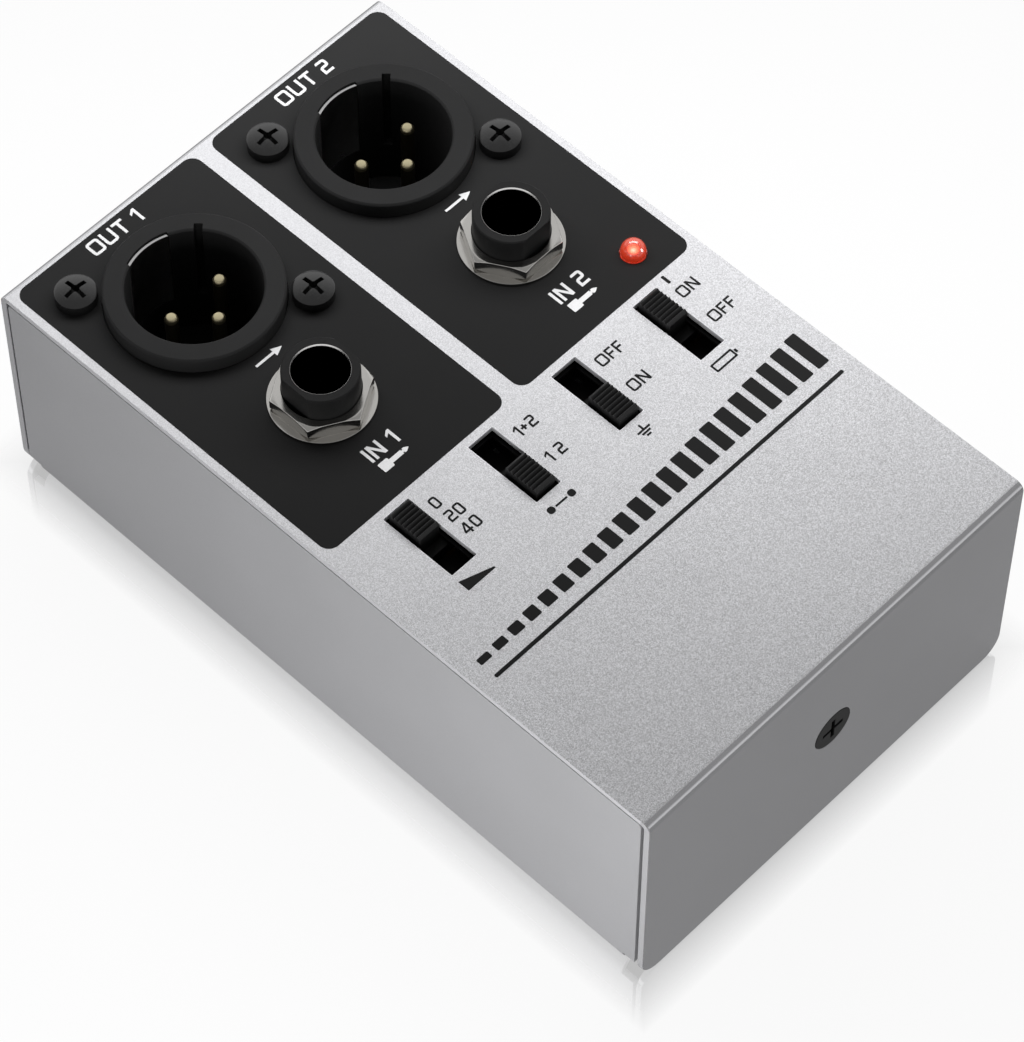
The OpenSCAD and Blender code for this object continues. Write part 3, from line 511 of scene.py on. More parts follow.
field_front = middle("jack_1_body").y - FIELD_PAST_JACK
field_rear = cover_high.y - FIELD_REAR_MARGIN
field_w = cover_high.x - FIELD_SIDE_MARGIN - FIELD_SPLIT / 2
for channel, side in ((1, -1), (2, 1)):
    field = ink_bar(side * (FIELD_SPLIT / 2 + field_w / 2), (field_front + field_rear) / 2,
                    field_w, field_rear - field_front, FIELD_CORNER_R)
    field.name = f"printed_field_{channel}"
    punch(field, middle(f"xlr_{channel}_shell"), RING_R + HOLE_GAP)
    punch(field, middle(f"jack_{channel}_body"), BUSHING_R + HOLE_GAP)
    if channel == 2:
        punch(field, middle("lamp_lens"), LENS_R + HOLE_GAP)
    field.data.materials.append(black_ink)
    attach(field, "case")

# Printed legends: plain functional marks in a square upright letter, white on the black fields and
# black on the silver, with a row of rising level bars and a thin rule on the front half of the top.

OUTER_R = 0.24
LETTER_GAP = 0.15
WORD_GAP = 0.4
ARC_STEPS = 5


def letter_outlines(pen):
    """Each letter's width and outlines, in cap heights, for a stroke as wide as the pen."""
    high = 1 - pen
    inside = OUTER_R - pen if OUTER_R > pen else 0

    def ring(width):
        wide = width - pen
        return width, [[(0, 0, OUTER_R), (width, 0, OUTER_R), (width, 1, OUTER_R), (0, 1, OUTER_R)],
                       [(pen, pen, inside), (wide, pen, inside), (wide, high, inside), (pen, high, inside)]]

    half = pen / 2
    return {
        "O": ring(0.84),
        "0": ring(0.66),
        "U": (0.78, [[(0, 1, 0), (0, 0, OUTER_R), (0.78, 0, OUTER_R), (0.78, 1, 0), (0.78 - pen, 1, 0),
                      (0.78 - pen, pen, inside), (pen, pen, inside), (pen, 1, 0)]]),
        "T": (0.72, [[(0, 1, 0), (0, high, 0), (0.36 - half, high, 0), (0.36 - half, 0, 0),
                      (0.36 + half, 0, 0), (0.36 + half, high, 0), (0.72, high, 0), (0.72, 1, 0)]]),
        "I": (pen, [[(0, 0, 0), (pen, 0, 0), (pen, 1, 0), (0, 1, 0)]]),
        "N": (0.78, [[(0, 0, 0), (pen, 0, 0), (pen, 0.72, 0), (0.76 - pen, 0, 0), (0.78, 0, 0),
                      (0.78, 1, 0), (0.78 - pen, 1, 0), (0.78 - pen, 0.28, 0), (pen + 0.02, 1, 0),
                      (0, 1, 0)]]),
        "F": (0.60, [[(0, 0, 0), (pen, 0, 0), (pen, 0.42, 0), (0.54, 0.42, 0), (0.54, 0.42 + pen, 0),
                      (pen, 0.42 + pen, 0), (pen, high, 0), (0.60, high, 0), (0.60, 1, 0), (0, 1, 0)]]),
        "1": (0.42, [[(0.42 - pen, 0, 0), (0.42, 0, 0), (0.42, 1, 0), (0.44 - pen, 1, 0), (0, 0.78, 0),
                      (0, 0.78 - pen, 0), (0.42 - pen, 0.96 - pen, 0)]]),
        "2": (0.66, [[(0, 0, 0), (0.66, 0, 0), (0.66, pen, 0), (pen, pen, 0), (pen, 0.5 - half, inside),
                      (0.66, 0.5 - half, OUTER_R), (0.66, 1, OUTER_R), (0, 1, 0.12), (0, high, 0),
                      (0.66 - pen, high, inside), (0.66 - pen, 0.5 + half, inside),
                      (0, 0.5 + half, OUTER_R)]]),
        "4": (0.72, [[(0.58 - pen, 0, 0), (0.58, 0, 0), (0.58, 0.2, 0), (0.72, 0.2, 0),
                      (0.72, 0.2 + pen, 0), (0.58, 0.2 + pen, 0), (0.58, 1, 0), (0.54 - pen, 1, 0),
                      (0, 0.2 + pen, 0), (0, 0.2, 0), (0.58 - pen, 0.2, 0)],
                     [(0.58 - pen, 0.2 + pen, 0), (0.58 - pen, 0.8, 0), (0.17, 0.2 + pen, 0)]]),
        "+": (0.50, [[(0, 0.5 - half, 0), (0.25 - half, 0.5 - half, 0), (0.25 - half, 0.25, 0),
                      (0.25 + half, 0.25, 0), (0.25 + half, 0.5 - half, 0), (0.5, 0.5 - half, 0),
                      (0.5, 0.5 + half, 0), (0.25 + half, 0.5 + half, 0), (0.25 + half, 0.75, 0),
                      (0.25 - half, 0.75, 0), (0.25 - half, 0.5 + half, 0), (0, 0.5 + half, 0)]]),
    }


BOLD_PEN = 0.17
LIGHT_PEN = 0.16
BOLD = letter_outlines(BOLD_PEN)
LIGHT = letter_outlines(LIGHT_PEN)


def turned_corners(outline):
    """The points of an outline of (x, y, radius) corners, each corner turned to its radius."""
    points = []
    for index, (x, y, radius) in enumerate(outline):
        here = Vector((x, y))
        back = Vector(outline[index - 1][:2]) - here
        ahead = Vector(outline[(index + 1) % len(outline)][:2]) - here
        if not radius:
            points.append(here)
            continue
        start = here + back.normalized() * radius
        end = here + ahead.normalized() * radius
        for step in range(ARC_STEPS + 1):
            t = step / ARC_STEPS
            points.append((1 - t) ** 2 * start + 2 * t * (1 - t) * here + t ** 2 * end)
    return points


def ink_shape(name, outlines, scale, x, y, lift):
    """A flat printed shape from closed outlines, the later ones holes, its origin put at x, y."""
    points, edges = [], []
    for outline in outlines:
        loop = turned_corners(outline)
        first = len(points)
        points += [(spot.x, spot.y, 0) for spot in loop]
        edges += [(first + n, first + (n + 1) % len(loop)) for n in range(len(loop))]
    mesh = bpy.data.meshes.new(name)
    mesh.from_pydata(points, edges, [])
    shape = bpy.data.objects.new(name, mesh)
    bpy.context.scene.collection.objects.link(shape)
    pick(shape)
    bpy.ops.object.mode_set(mode="EDIT")
    bpy.ops.mesh.select_all(action="SELECT")
    bpy.ops.mesh.fill()
    bpy.ops.mesh.select_all(action="SELECT")
    bpy.ops.mesh.extrude_region_move(TRANSFORM_OT_translate={"value": (0, 0, INK_T / scale)})
    bpy.ops.mesh.select_all(action="SELECT")
    bpy.ops.mesh.normals_make_consistent(inside=False)
    bpy.ops.object.mode_set(mode="OBJECT")
    shape.scale = (scale, scale, scale)
    shape.location = (x, y, top_z + lift)
    bpy.ops.object.transform_apply(location=True, rotation=True, scale=True)
    return shape


def ink_words(letters, words, x, y, cap_h, lift, centred):
    """A printed word or number, its capitals cap_h high and centred on y."""
    steps, run = [], 0.0
    for letter in words:
        if letter == " ":
            run += WORD_GAP
            continue
        steps.append((letter, run))
        run += letters[letter][0] + LETTER_GAP
    start = x - (run - LETTER_GAP) * cap_h / 2 if centred else x
    return [ink_shape("letter", letters[letter][1], cap_h, start + step * cap_h, y - cap_h / 2, lift)
            for letter, step in steps]


def print_marks(name, marks, ink):
    """Joins printed marks into one piece on the cover."""
    bpy.ops.object.select_all(action="DESELECT")
    for mark in marks:
        mark.select_set(True)
    bpy.context.view_layer.objects.active = marks[0]
    bpy.ops.object.join()
    printed = bpy.context.object
    printed.name = name
    printed.data.materials.clear()
    printed.data.materials.append(ink)
    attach(printed, "case")


white_ink, shader, place = new_finish("white_ink", {"Specular IOR Level": 0.3})
tooth = noise(place, 0.2 * MM)
feed(shader, {
    "Base Color": tint(tooth, grey(0.62), grey(0.74)),
    "Roughness": 0.5 + 0.1 * tooth,
})

LARGE_CAP = 2.1 * MM
SMALL_CAP = 1.6 * MM
OUT_UP = 13.1 * MM
IN_DOWN = 9.05 * MM
PLUG_DOWN = 11.3 * MM
ARROW_UP = 8.4 * MM
PLUG = [[(0, 0.08, 0.1), (0.9, 0.08, 0.1), (0.9, 0.3, 0), (2.0, 0.3, 0), (2.0, 0.4, 0), (2.12, 0.4, 0),
         (2.12, 0.3, 0), (2.3, 0.3, 0.05), (2.62, 0.5, 0.05), (2.3, 0.7, 0.05), (2.12, 0.7, 0),
         (2.12, 0.6, 0), (2.0, 0.6, 0), (2.0, 0.7, 0), (0.9, 0.7, 0), (0.9, 0.92, 0.1), (0, 0.92, 0.1)]]
PLUG_L = 2.62
ARROW = [[(0, 0.40, 0), (1.7, 0.40, 0), (1.7, 0.12, 0), (2.5, 0.5, 0), (1.7, 0.88, 0), (1.7, 0.60, 0),
          (0, 0.60, 0)]]
ARROW_L = 2.5

white_marks = []
for channel in (1, 2):
    socket = middle(f"xlr_{channel}_shell")
    jack = middle(f"jack_{channel}_body")
    white_marks += ink_words(BOLD, f"OUT {channel}", socket.x, socket.y + OUT_UP, LARGE_CAP, INK_T, True)
    white_marks += ink_words(BOLD, f"IN {channel}", jack.x, jack.y - IN_DOWN, LARGE_CAP, INK_T, True)
    white_marks.append(ink_shape("plug", PLUG, SMALL_CAP, jack.x - PLUG_L * SMALL_CAP / 2,
                                 jack.y - PLUG_DOWN - SMALL_CAP / 2, INK_T))
    white_marks.append(ink_shape("arrow", ARROW, SMALL_CAP, jack.x - ARROW_L * SMALL_CAP / 2,
                                 jack.y + ARROW_UP - SMALL_CAP / 2, INK_T))
print_marks("white_legends", white_marks, white_ink)

SWITCH_MARKS = {
    "attenuation": (("0", 2.7), ("20", 0.3), ("40", -2.1)),
    "mode": (("1+2", 2.7), ("1 2", -2.1)),
    "ground": (("OFF", 2.7), ("ON", -2.1)),
    "battery": (("ON", 2.7), ("OFF", -2.1)),
}
SIGNS = {
    "attenuation": [[[(0, 0, 0), (2.6, 0, 0), (2.6, 0.14, 0), (0, 1, 0)]]],
    "mode": [[[(0, 0.2, 0.3), (0.6, 0.2, 0.3), (0.6, 0.8, 0.3), (0, 0.8, 0.3)]],
             [[(0.75, 0.42, 0), (1.85, 0.42, 0), (1.85, 0.58, 0), (0.75, 0.58, 0)]],
             [[(2.0, 0.2, 0.3), (2.6, 0.2, 0.3), (2.6, 0.8, 0.3), (2.0, 0.8, 0.3)]]],
    "ground": [[[(0.72, 0.62, 0), (0.88, 0.62, 0), (0.88, 1.05, 0), (0.72, 1.05, 0)]],
               [[(0.2, 0.46, 0), (1.4, 0.46, 0), (1.4, 0.62, 0), (0.2, 0.62, 0)]],
               [[(0.4, 0.2, 0), (1.2, 0.2, 0), (1.2, 0.36, 0), (0.4, 0.36, 0)]],
               [[(0.6, -0.06, 0), (1.0, -0.06, 0), (1.0, 0.10, 0), (0.6, 0.10, 0)]]],
    "battery": [[[(0, 0.1, 0.1), (2.1, 0.1, 0.1), (2.1, 0.9, 0.1), (0, 0.9, 0.1)],
                 [(0.16, 0.26, 0), (1.94, 0.26, 0), (1.94, 0.74, 0), (0.16, 0.74, 0)]],
                [[(2.16, 0.34, 0), (2.36, 0.34, 0), (2.36, 0.66, 0), (2.16, 0.66, 0)]]],
}
SIGN_L = {"attenuation": 2.6, "mode": 2.6, "ground": 1.6, "battery": 2.36}
SIGN_DOWN = 7.1 * MM
MARK_ASIDE = 3.0 * MM
TICK_W = 0.4 * MM
TICK_L = 1.3 * MM
TICK_ASIDE = 3.5 * MM
TICK_UP = 5.15 * MM
TICK_CORNER_R = 0.1 * MM
BAR_COUNT = 22
BAR_PITCH = 2.56 * MM
BAR_W = 1.7 * MM
BAR_LOW = 0.9 * MM
BAR_HIGH = 5.4 * MM
BAR_CORNER_R = 0.2 * MM
BAR_DOWN = 15.5 * MM
RULE_DOWN = 17.5 * MM
RULE_W = 0.5 * MM

black_marks = []
for switch in SWITCHES:
    slot = middle(switch + "_switch_frame")
    for words, up in SWITCH_MARKS[switch]:
        black_marks += ink_words(LIGHT, words, slot.x + MARK_ASIDE, slot.y + up * MM, SMALL_CAP, 0.0, False)
    for outlines in SIGNS[switch]:
        black_marks.append(ink_shape("sign", outlines, SMALL_CAP, slot.x - SIGN_L[switch] * SMALL_CAP / 2,
                                     slot.y - SIGN_DOWN - SMALL_CAP / 2, 0.0))
battery_slot = middle("battery_switch_frame")
black_marks.append(ink_bar(battery_slot.x + TICK_ASIDE, battery_slot.y + TICK_UP, TICK_W, TICK_L,
                           TICK_CORNER_R))
for step in range(BAR_COUNT):
    bar_h = BAR_LOW + (BAR_HIGH - BAR_LOW) * step / (BAR_COUNT - 1)
    bar_x = (step - (BAR_COUNT - 1) / 2) * BAR_PITCH
    bar_y = battery_slot.y - BAR_DOWN + bar_h / 2
    black_marks.append(ink_bar(bar_x, bar_y, BAR_W, bar_h, BAR_CORNER_R))
black_marks.append(ink_bar(0, battery_slot.y - RULE_DOWN, (BAR_COUNT - 1) * BAR_PITCH + BAR_W, RULE_W,
                           BAR_CORNER_R))
print_marks("black_legends", black_marks, black_ink)

# XLR sockets: black nylon shells pushed up through the cover, each with a sprung steel latch plate
# at the rear of the bore and three gilt contact pins that stand in its floor.

XLR_EDGE_R = 0.12 * MM
PIN_EDGE_R = 0.1 * MM
PLATE_EDGE_R = 0.09 * MM
latch_steel = plated("latch_steel", (0.50, 0.50, 0.50, 1), (0.66, 0.66, 0.66, 1), 0.24)

TIP_L = 0.5 * MM
TIP_FADE = 0.25 * MM
pin_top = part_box("xlr_1_pins")[1].z
# Painted shade: the pins are pale gold only at their tips, and their colour is painted dark down the stems,
# as shade deep in the socket's bore.
gilt_pin_shaded_stem, shader, place = new_finish("gilt_pin_shaded_stem", {"Metallic": 1.0})
rise = place.node("ShaderNodeSeparateXYZ", {}, {"Vector": place}, output=2)
unshaded_tip = clamp((rise - (pin_top - TIP_L - TIP_FADE)) * (1 / TIP_FADE))
rub = noise(place, 0.1 * MM, 3.0)
feed(shader, {
    "Base Color": tint(unshaded_tip * (0.85 + 0.3 * (rub - 0.5)), (0.16, 0.14, 0.09, 1), (0.74, 0.66, 0.43, 1)),
    "Roughness": 0.34 + 0.12 * rub,
    "Normal": bump(rub, 0.001 * MM),
})
for channel in (1, 2):
    rounded(f"xlr_{channel}_shell", black_plastic, XLR_EDGE_R)
    rounded(f"xlr_{channel}_pins", gilt_pin_shaded_stem, PIN_EDGE_R)
    rounded(f"xlr_{channel}_latch_plate", latch_steel, PLATE_EDGE_R)

# XLR mounting screws: black thread-forming screws with domed heads and a cross recess, two to each
# socket, driven through the cover into the flange of the shell.

HEAD_R = 2.45 * MM
HEAD_RIM_H = 1.4 * MM
DOME_H = 0.6 * MM
SHANK_R = 1.25 * MM
DOME_STEPS = 8
RECESS_L = 3.0 * MM
RECESS_W = 0.52 * MM
RECESS_HUB = 0.95 * MM
RECESS_DEPTH = 1.3 * MM
SCREW_EDGE_R = 0.07 * MM
SCREW_SIDES = 64
FACES_UP = 0.99


def face_select(piece, test):
    """Selects, in edit mode, only the faces whose middle and normal pass the test."""
    bpy.ops.mesh.select_all(action="DESELECT")
    mesh = bmesh.from_edit_mesh(piece.data)
    for face in mesh.faces:
        if test(face.calc_center_median(), face.normal):
            face.select_set(True)
    mesh.select_flush_mode()
    bmesh.update_edit_mesh(piece.data)


def domed_screw(shank_l):
    """One screw on the origin, with the underside of its head at z = 0."""
    bpy.ops.object.select_all(action="DESELECT")
    bpy.ops.mesh.primitive_cylinder_add(vertices=SCREW_SIDES, radius=HEAD_R, depth=HEAD_RIM_H,
                                        location=(0, 0, HEAD_RIM_H / 2))
    screw = bpy.context.object
    bpy.ops.object.transform_apply(location=True, rotation=True, scale=True)
    bpy.ops.object.mode_set(mode="EDIT")
    dome_r = (HEAD_R ** 2 + DOME_H ** 2) / (2 * DOME_H)
    last_z = 0.0
    for step in range(1, DOME_STEPS + 1):
        top = max(vertex.co.z for vertex in bmesh.from_edit_mesh(screw.data).verts)
        face_select(screw, lambda spot, normal: spot.z > top - MERGE and normal.z > FACES_UP)
        ring_r = HEAD_R * (1 - step / (DOME_STEPS + 1))
        ring_z = math.sqrt(dome_r ** 2 - ring_r ** 2) - (dome_r - DOME_H)
        bpy.ops.mesh.inset(thickness=HEAD_R / (DOME_STEPS + 1), depth=0)
        bpy.ops.transform.translate(value=(0, 0, ring_z - last_z))
        last_z = ring_z
    face_select(screw, lambda spot, normal: normal.z < -FACES_UP)
    bpy.ops.mesh.inset(thickness=HEAD_R - SHANK_R, depth=0)
    bpy.ops.mesh.extrude_region_move(TRANSFORM_OT_translate={"value": (0, 0, -shank_l)})
    bpy.ops.object.mode_set(mode="OBJECT")
    for width, length, turn in ((RECESS_L, RECESS_W, 0), (RECESS_W, RECESS_L, 0),
                                (RECESS_HUB, RECESS_HUB, math.pi / 4)):
        bpy.ops.object.select_all(action="DESELECT")
        bpy.ops.mesh.primitive_cube_add(size=1, location=(0, 0, HEAD_RIM_H + DOME_H), rotation=(0, 0, turn))
        cutter = bpy.context.object
        cutter.scale = (width, length, 2 * RECESS_DEPTH)
        bpy.ops.object.transform_apply(location=True, rotation=True, scale=True)
        apply_modifier(screw, "BOOLEAN", operation="DIFFERENCE", object=cutter, solver="EXACT")
        bpy.data.objects.remove(cutter)
    round_edges(screw, SCREW_EDGE_R, 2)
    return screw


screw_black, shader, place = new_finish("screw_black", {"Specular IOR Level": 0.7})
film = noise(place, 0.8 * MM)
rub = noise(place, 0.1 * MM, 3.0)
feed(shader, {
    "Base Color": tint(0.5 * film + 0.5 * rub, grey(0.004), grey(0.009)),
    "Roughness": 0.2 + 0.1 * film,
    "Normal": bump(rub, 0.001 * MM),
})

screws_low, screws_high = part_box("xlr_screws")
screw = domed_screw(top_z - screws_low.z)
screw_copies = []
for channel in (1, 2):
    socket = middle(f"xlr_{channel}_shell")
    offset = screws_high.y - HEAD_R - socket.y
    for side in (-1, 1):
        copy = bpy.data.objects.new("screw", screw.data.copy())
        bpy.context.scene.collection.objects.link(copy)
        copy.location = (socket.x + side * offset, socket.y - side * offset, top_z)
        screw_copies.append(copy)
bpy.data.objects.remove(screw)
pick(screw_copies[0])
for copy in screw_copies:
    copy.select_set(True)
bpy.ops.object.transform_apply(location=True, rotation=True, scale=True)
bpy.ops.object.join()
screw_set = bpy.context.object
screw_set.name = "xlr_domed_screws"
settle(screw_set, screw_black, "xlr_screws")

# Jacks: black moulded bodies with a bushing through the cover, each lined with a thin nickel
# sleeve and held by a nickel hexagon nut on a plain washer. Bronze leaf springs touch the plug.

JACK_EDGE_R = 0.1 * MM
NUT_EDGE_R = 0.07 * MM
WASHER_EDGE_R = 0.08 * MM
jack_black = moulded("jack_black", grey(0.009), grey(0.014), 0.4, gloss=0.1)
nickel = plated("nickel", (0.48, 0.47, 0.45, 1), (0.64, 0.625, 0.60, 1), 0.11)
BORE_R = 3.2 * MM
CAD_FUNNEL_H = 0.8 * MM
MOUTH_R = 3.38 * MM
FUNNEL_H = 0.32 * MM
FUNNEL_FADE = 0.06 * MM
FUNNEL_CREASE = math.radians(20)
mouth_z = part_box("jack_1_sleeve")[1].z
sleeve_nickel, shader, place = new_finish("sleeve_nickel", {"Metallic": 1.0})
rise = place.node("ShaderNodeSeparateXYZ", {}, {"Vector": place}, output=2)
# Painted shade: below the short funnel the sleeve's colour is painted near black, as shade deep in the
# bore; only the mouth shows bright nickel.
bright = clamp((rise - (mouth_z - FUNNEL_H - FUNNEL_FADE)) * (1 / FUNNEL_FADE))
rub = noise(place, 0.08 * MM, 3.0)
feed(shader, {
    "Base Color": tint(bright * (0.85 + 0.3 * (rub - 0.5)), grey(0.012), (0.80, 0.79, 0.78, 1)),
    "Roughness": 0.16 + 0.1 * rub,
})


def flared_sleeve(node):
    """Shows a jack's sleeve with its mouth rolled to a short polished funnel."""
    axis = middle(node)
    piece = merged_copy(node, node + "_flared")
    for vertex in piece.data.vertices:
        arm = Vector((vertex.co.x - axis.x, vertex.co.y - axis.y))
        share = 1 - (mouth_z - vertex.co.z) / CAD_FUNNEL_H
        if share > -MERGE and arm.length < MOUTH_R:
            arm *= (BORE_R + (MOUTH_R - BORE_R) * share) / arm.length
            vertex.co = (axis.x + arm.x, axis.y + arm.y, mouth_z - FUNNEL_H * (1 - share))
    bpy.ops.object.shade_smooth_by_angle(angle=FUNNEL_CREASE)
    settle(piece, sleeve_nickel, node)


for channel in (1, 2):
    rounded(f"jack_{channel}_body", jack_black, JACK_EDGE_R)
    flared_sleeve(f"jack_{channel}_sleeve")
    dress(bronze, f"jack_{channel}_springs")
rounded("jack_nuts", nickel, NUT_EDGE_R)
rounded("jack_washers", nickel, WASHER_EDGE_R)

# Lamp: a 3 mm light-emitting diode in red epoxy, lit, with its tiny reflector cup glowing in the
# middle of the lens. It stands on a nylon spacer, on two tinned wires from the switch board.

lens, shader, place = new_finish("lamp_red", {
    "Transmission Weight": 0.8,
    "IOR": 1.45,
    "Emission Strength": 0.22,
    "Coat Weight": 1.0,
    "Coat Roughness": 0.04,
})
lens_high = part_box("lamp_lens")[1]
rise = place.node("ShaderNodeSeparateXYZ", {}, {"Vector": place}, output=2)
share = clamp((rise - top_z) * (1 / (lens_high.z - top_z)))
feed(shader, {
    "Base Color": tint(noise(place, 0.9 * MM), (0.78, 0.10, 0.05, 1), (0.86, 0.15, 0.08, 1)),
    "Emission Color": tint(share, (0.72, 0.045, 0.008, 1), (0.85, 0.100, 0.030, 1)),
    "Roughness": 0.2 + 0.06 * noise(place, 0.5 * MM),
})
LENS_EDGE_R = 0.05 * MM
lens_piece = rounded("lamp_lens", lens, LENS_EDGE_R)

CUP_R = 0.5 * MM
CUP_H = 0.26 * MM
CUP_WALL = 0.08 * MM
CUP_DEPTH = 0.12 * MM
CUP_TAPER = 0.8
CUP_SIDES = 32
lamp_spot = middle("lamp_lens")
cup_floor = (lamp_spot.x, lamp_spot.y, lens_high.z - LENS_R + CUP_H / 2 - CUP_DEPTH)
lamp_glow, shader, place = new_finish("lamp_glow", {"Emission Strength": 3.4, "Roughness": 0.4})
off_middle = place.node("ShaderNodeVectorMath", {"operation": "DISTANCE"}, {0: place, 1: cup_floor},
                        output=1)
heat = clamp(1 - off_middle * (1 / CUP_R))
feed(shader, {
    "Base Color": tint(noise(place, 0.2 * MM), (0.9, 0.6, 0.5, 1), (1.0, 0.8, 0.7, 1)),
    "Emission Color": tint(heat * heat, (0.21, 0.03, 0.018, 1), (1.0, 0.96, 1.0, 1)),
})
bpy.ops.object.select_all(action="DESELECT")
bpy.ops.mesh.primitive_cone_add(vertices=CUP_SIDES, radius1=CUP_R * CUP_TAPER, radius2=CUP_R, depth=CUP_H,
                                location=(lamp_spot.x, lamp_spot.y, lens_high.z - LENS_R))
cup = bpy.context.object
cup.name = "lamp_reflector_cup"
bpy.ops.object.transform_apply(location=True, rotation=True, scale=True)
bpy.ops.object.mode_set(mode="EDIT")
face_select(cup, lambda spot, normal: normal.z > FACES_UP)
bpy.ops.mesh.inset(thickness=CUP_WALL, depth=0)
bpy.ops.transform.translate(value=(0, 0, -CUP_DEPTH))
bpy.ops.object.mode_set(mode="OBJECT")
bpy.ops.object.shade_smooth_by_angle(angle=SMOOTH_ANGLE)
cup.data.materials.append(lamp_glow)
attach(cup, "case")

dress(tinned, "lamp_wires")
dress(moulded("white_nylon", (0.62, 0.60, 0.54, 1), (0.72, 0.70, 0.64, 1), 0.45), "lamp_spacer")

# End screws: two flush M3 screws with black oxide finish and a cross recess, one in the dimple of
# each end of the cover, which hold the two halves of the case together.

END_SCREW_EDGE_R = 0.08 * MM
rounded("case_screws", black_steel, END_SCREW_EDGE_R)

# Stage: a plain white floor, faintly polished next to the case, under soft studio light. A strip
# lamp hangs over the rear right corner, a low one fills the left side, and two small ones light the
# lens alone. Polished metal sees a white horizon and a ceiling that is dimmer towards the front.

FLOOR_SIZE = 4.0
FLOOR_GLOW = 0.92
FLOOR_MIRROR_GLOW = 0.9
FLOOR_MIRROR_LEVEL = 0.36
FLOOR_POLISH = 0.47
FLOOR_POLISH_REACH = 4.9 * MM
FLOOR_POLISH_ROUGHNESS = 0.05
SKY_LEVEL = 0.13
CEILING_SHARE = 0.28
WINDOW_SHARE = 0.7
WINDOW_START = 0.2
BACKDROP_TOP = 0.56
BACKDROP_FADE = 0.27

bpy.ops.object.select_all(action="DESELECT")
bpy.ops.mesh.primitive_plane_add(size=FLOOR_SIZE, location=(0, 0, 0))
floor = bpy.context.object
floor.name = "floor"
floor_white = bpy.data.materials.new("floor_white")
floor_white.use_nodes = True
tree = floor_white.node_tree
tree.nodes.remove(tree.nodes["Principled BSDF"])
rays = tree.nodes.new("ShaderNodeLightPath").outputs
camera_ray = Wire(rays["Is Camera Ray"])
glossy_ray = Wire(rays["Is Glossy Ray"])
matt = camera_ray.node("ShaderNodeBsdfDiffuse", {}, {"Color": tint(camera_ray, grey(0.6), grey(0.95))})
level = camera_ray + glossy_ray * FLOOR_MIRROR_LEVEL
lit = camera_ray.node("ShaderNodeEmission", {}, {"Color": (1, 1, 1, 1), "Strength": level})
share = camera_ray * FLOOR_GLOW + glossy_ray * FLOOR_MIRROR_GLOW
white = camera_ray.node("ShaderNodeMixShader", {}, {0: share, 1: matt, 2: lit})
place = Wire(tree.nodes.new("ShaderNodeTexCoord").outputs["Object"])
across = place.node("ShaderNodeSeparateXYZ", {}, {"Vector": place}, output=0)
along = place.node("ShaderNodeSeparateXYZ", {}, {"Vector": place}, output=1)
past_side = across.maths("ABSOLUTE", across) - cover_high.x
past_end = along.maths("ABSOLUTE", along) - cover_high.y
away = past_side.maths("MAXIMUM", past_side, past_end)
polish = camera_ray * FLOOR_POLISH * clamp(1 - away * (1 / FLOOR_POLISH_REACH))
mirror = camera_ray.node("ShaderNodeBsdfGlossy", {},
                         {"Color": (1, 1, 1, 1), "Roughness": FLOOR_POLISH_ROUGHNESS})
shown = camera_ray.node("ShaderNodeMixShader", {}, {0: polish, 1: white, 2: mirror})
tree.links.new(shown.socket, tree.nodes["Material Output"].inputs["Surface"])
floor.data.materials.append(floor_white)

world = bpy.data.worlds.new("studio")
bpy.context.scene.world = world
world.use_nodes = True
tree = world.node_tree
rays = tree.nodes.new("ShaderNodeLightPath").outputs
camera_ray = Wire(rays["Is Camera Ray"])
glossy_ray = Wire(rays["Is Glossy Ray"])
clear_ray = Wire(rays["Is Transmission Ray"])
heading = Wire(tree.nodes.new("ShaderNodeTexCoord").outputs["Generated"])
right = heading.node("ShaderNodeSeparateXYZ", {}, {"Vector": heading}, output=0)
back = heading.node("ShaderNodeSeparateXYZ", {}, {"Vector": heading}, output=1)
up = heading.node("ShaderNodeSeparateXYZ", {}, {"Vector": heading}, output=2)
backdrop = clamp((BACKDROP_TOP - up) * (1 / BACKDROP_FADE))
ceiling = CEILING_SHARE + WINDOW_SHARE * clamp(right + back - WINDOW_START)
mirror_ray = glossy_ray.maths("MAXIMUM", glossy_ray, clear_ray)
mirrored = mirror_ray * backdrop.maths("MAXIMUM", ceiling, backdrop)
seen = camera_ray.maths("MAXIMUM", camera_ray, mirrored)
tree.links.new((SKY_LEVEL + (1 - SKY_LEVEL) * seen).socket, tree.nodes["Background"].inputs["Strength"])
tree.nodes["Background"].inputs["Color"].default_value = (1, 1, 1, 1)


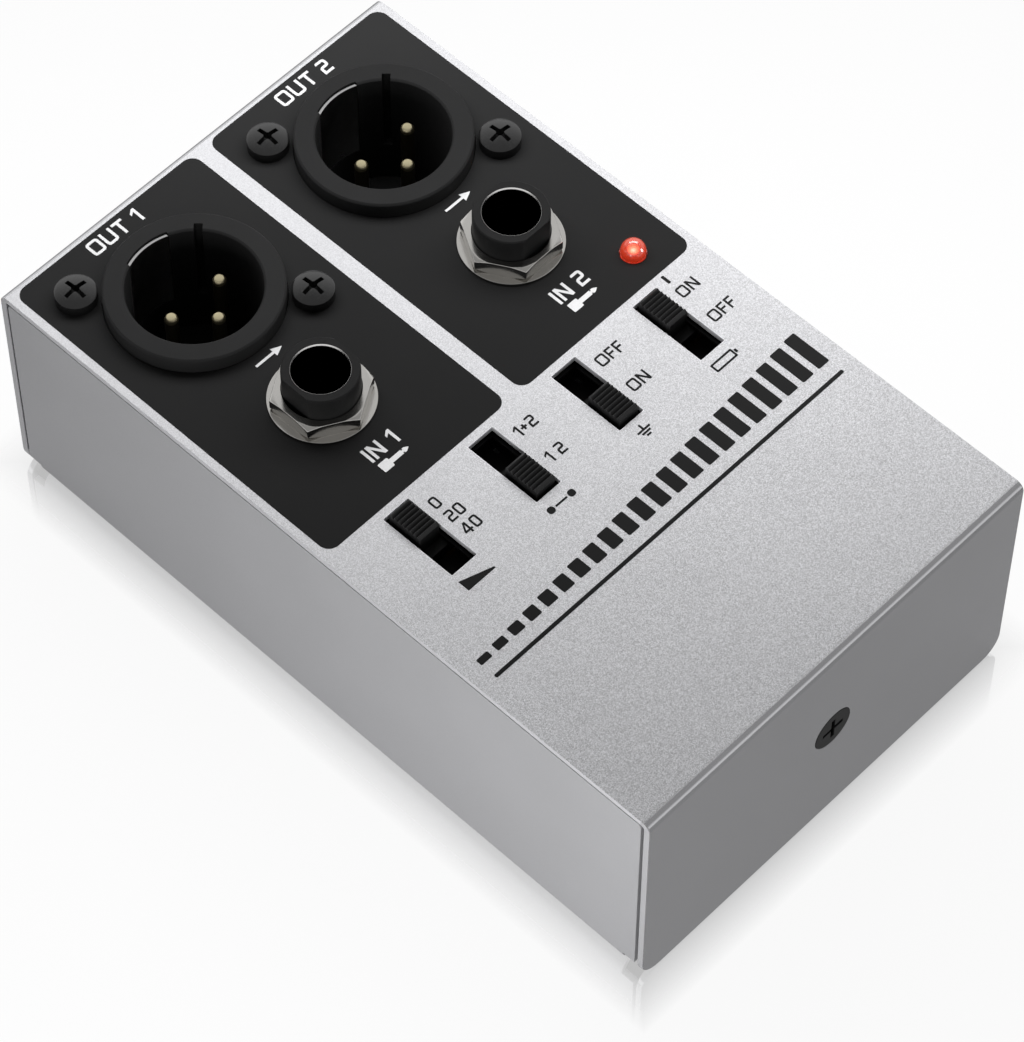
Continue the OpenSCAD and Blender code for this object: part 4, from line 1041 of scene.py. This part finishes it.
def soft_lamp(name, place, aim, width, height, power):
    """A studio lamp that hangs at a place and looks at a point."""
    bpy.ops.object.select_all(action="DESELECT")
    bpy.ops.object.light_add(type="AREA", location=place)
    lamp = bpy.context.object
    lamp.name = name
    lamp.data.shape = "RECTANGLE"
    lamp.data.size = width
    lamp.data.size_y = height
    lamp.data.energy = power
    lamp.rotation_euler = (Vector(aim) - Vector(place)).to_track_quat("-Z", "Y").to_euler()
    lamp.visible_camera = False
    lamp.visible_glossy = False
    return lamp


soft_lamp("key_lamp", place=(0.0384, 0.037, 0.11), aim=(0.0, 0.0, 0.03), width=0.20, height=0.05,
          power=0.19)
soft_lamp("fill_lamp", place=(-0.17, -0.085, 0.038), aim=(0.0, -0.01, 0.02), width=0.08, height=0.08,
          power=0.215)

CATCH_REACH = 0.1
CATCH_LIGHTS = (
    {"name": "rear_catch_light", "toward": (0.485, 0.463, 0.741), "width": 0.108, "height": 0.028,
     "power": 0.095},
    {"name": "side_catch_light", "toward": (0.6, -0.786, 0.149), "width": 0.03, "height": 0.05,
     "power": 0.047},
)
glossy_lens = bpy.data.collections.new("glossy_lens")
glossy_lens.objects.link(lens_piece)
for light in CATCH_LIGHTS:
    catch_light = soft_lamp(light["name"], lamp_spot + CATCH_REACH * Vector(light["toward"]), lamp_spot,
                            light["width"], light["height"], light["power"])
    catch_light.visible_glossy = True
    catch_light.light_linking.receiver_collection = glossy_lens

# Camera: a long lens looking down on the front left corner, as in the photograph. The shift keeps
# the object where the photograph's frame has it.

IMAGE_LONG_SIDE = 1042
FOCAL_PX = 4641.3
SENSOR = 36.0
CAMERA_PLACE = (-214.36 * MM, -206.36 * MM, 451.85 * MM)
CAMERA_TURN = (32.841, 0.261, -45.887)
FRAME_SHIFT_X = 0.0325
FRAME_SHIFT_Y = 0.0715

bpy.ops.object.camera_add(location=CAMERA_PLACE, rotation=[math.radians(turn) for turn in CAMERA_TURN])
camera = bpy.context.object
camera.data.sensor_width = SENSOR
camera.data.lens = SENSOR * FOCAL_PX / IMAGE_LONG_SIDE
camera.data.shift_x = FRAME_SHIFT_X
camera.data.shift_y = FRAME_SHIFT_Y
bpy.context.scene.camera = camera
bpy.context.scene.view_settings.view_transform = "Standard"
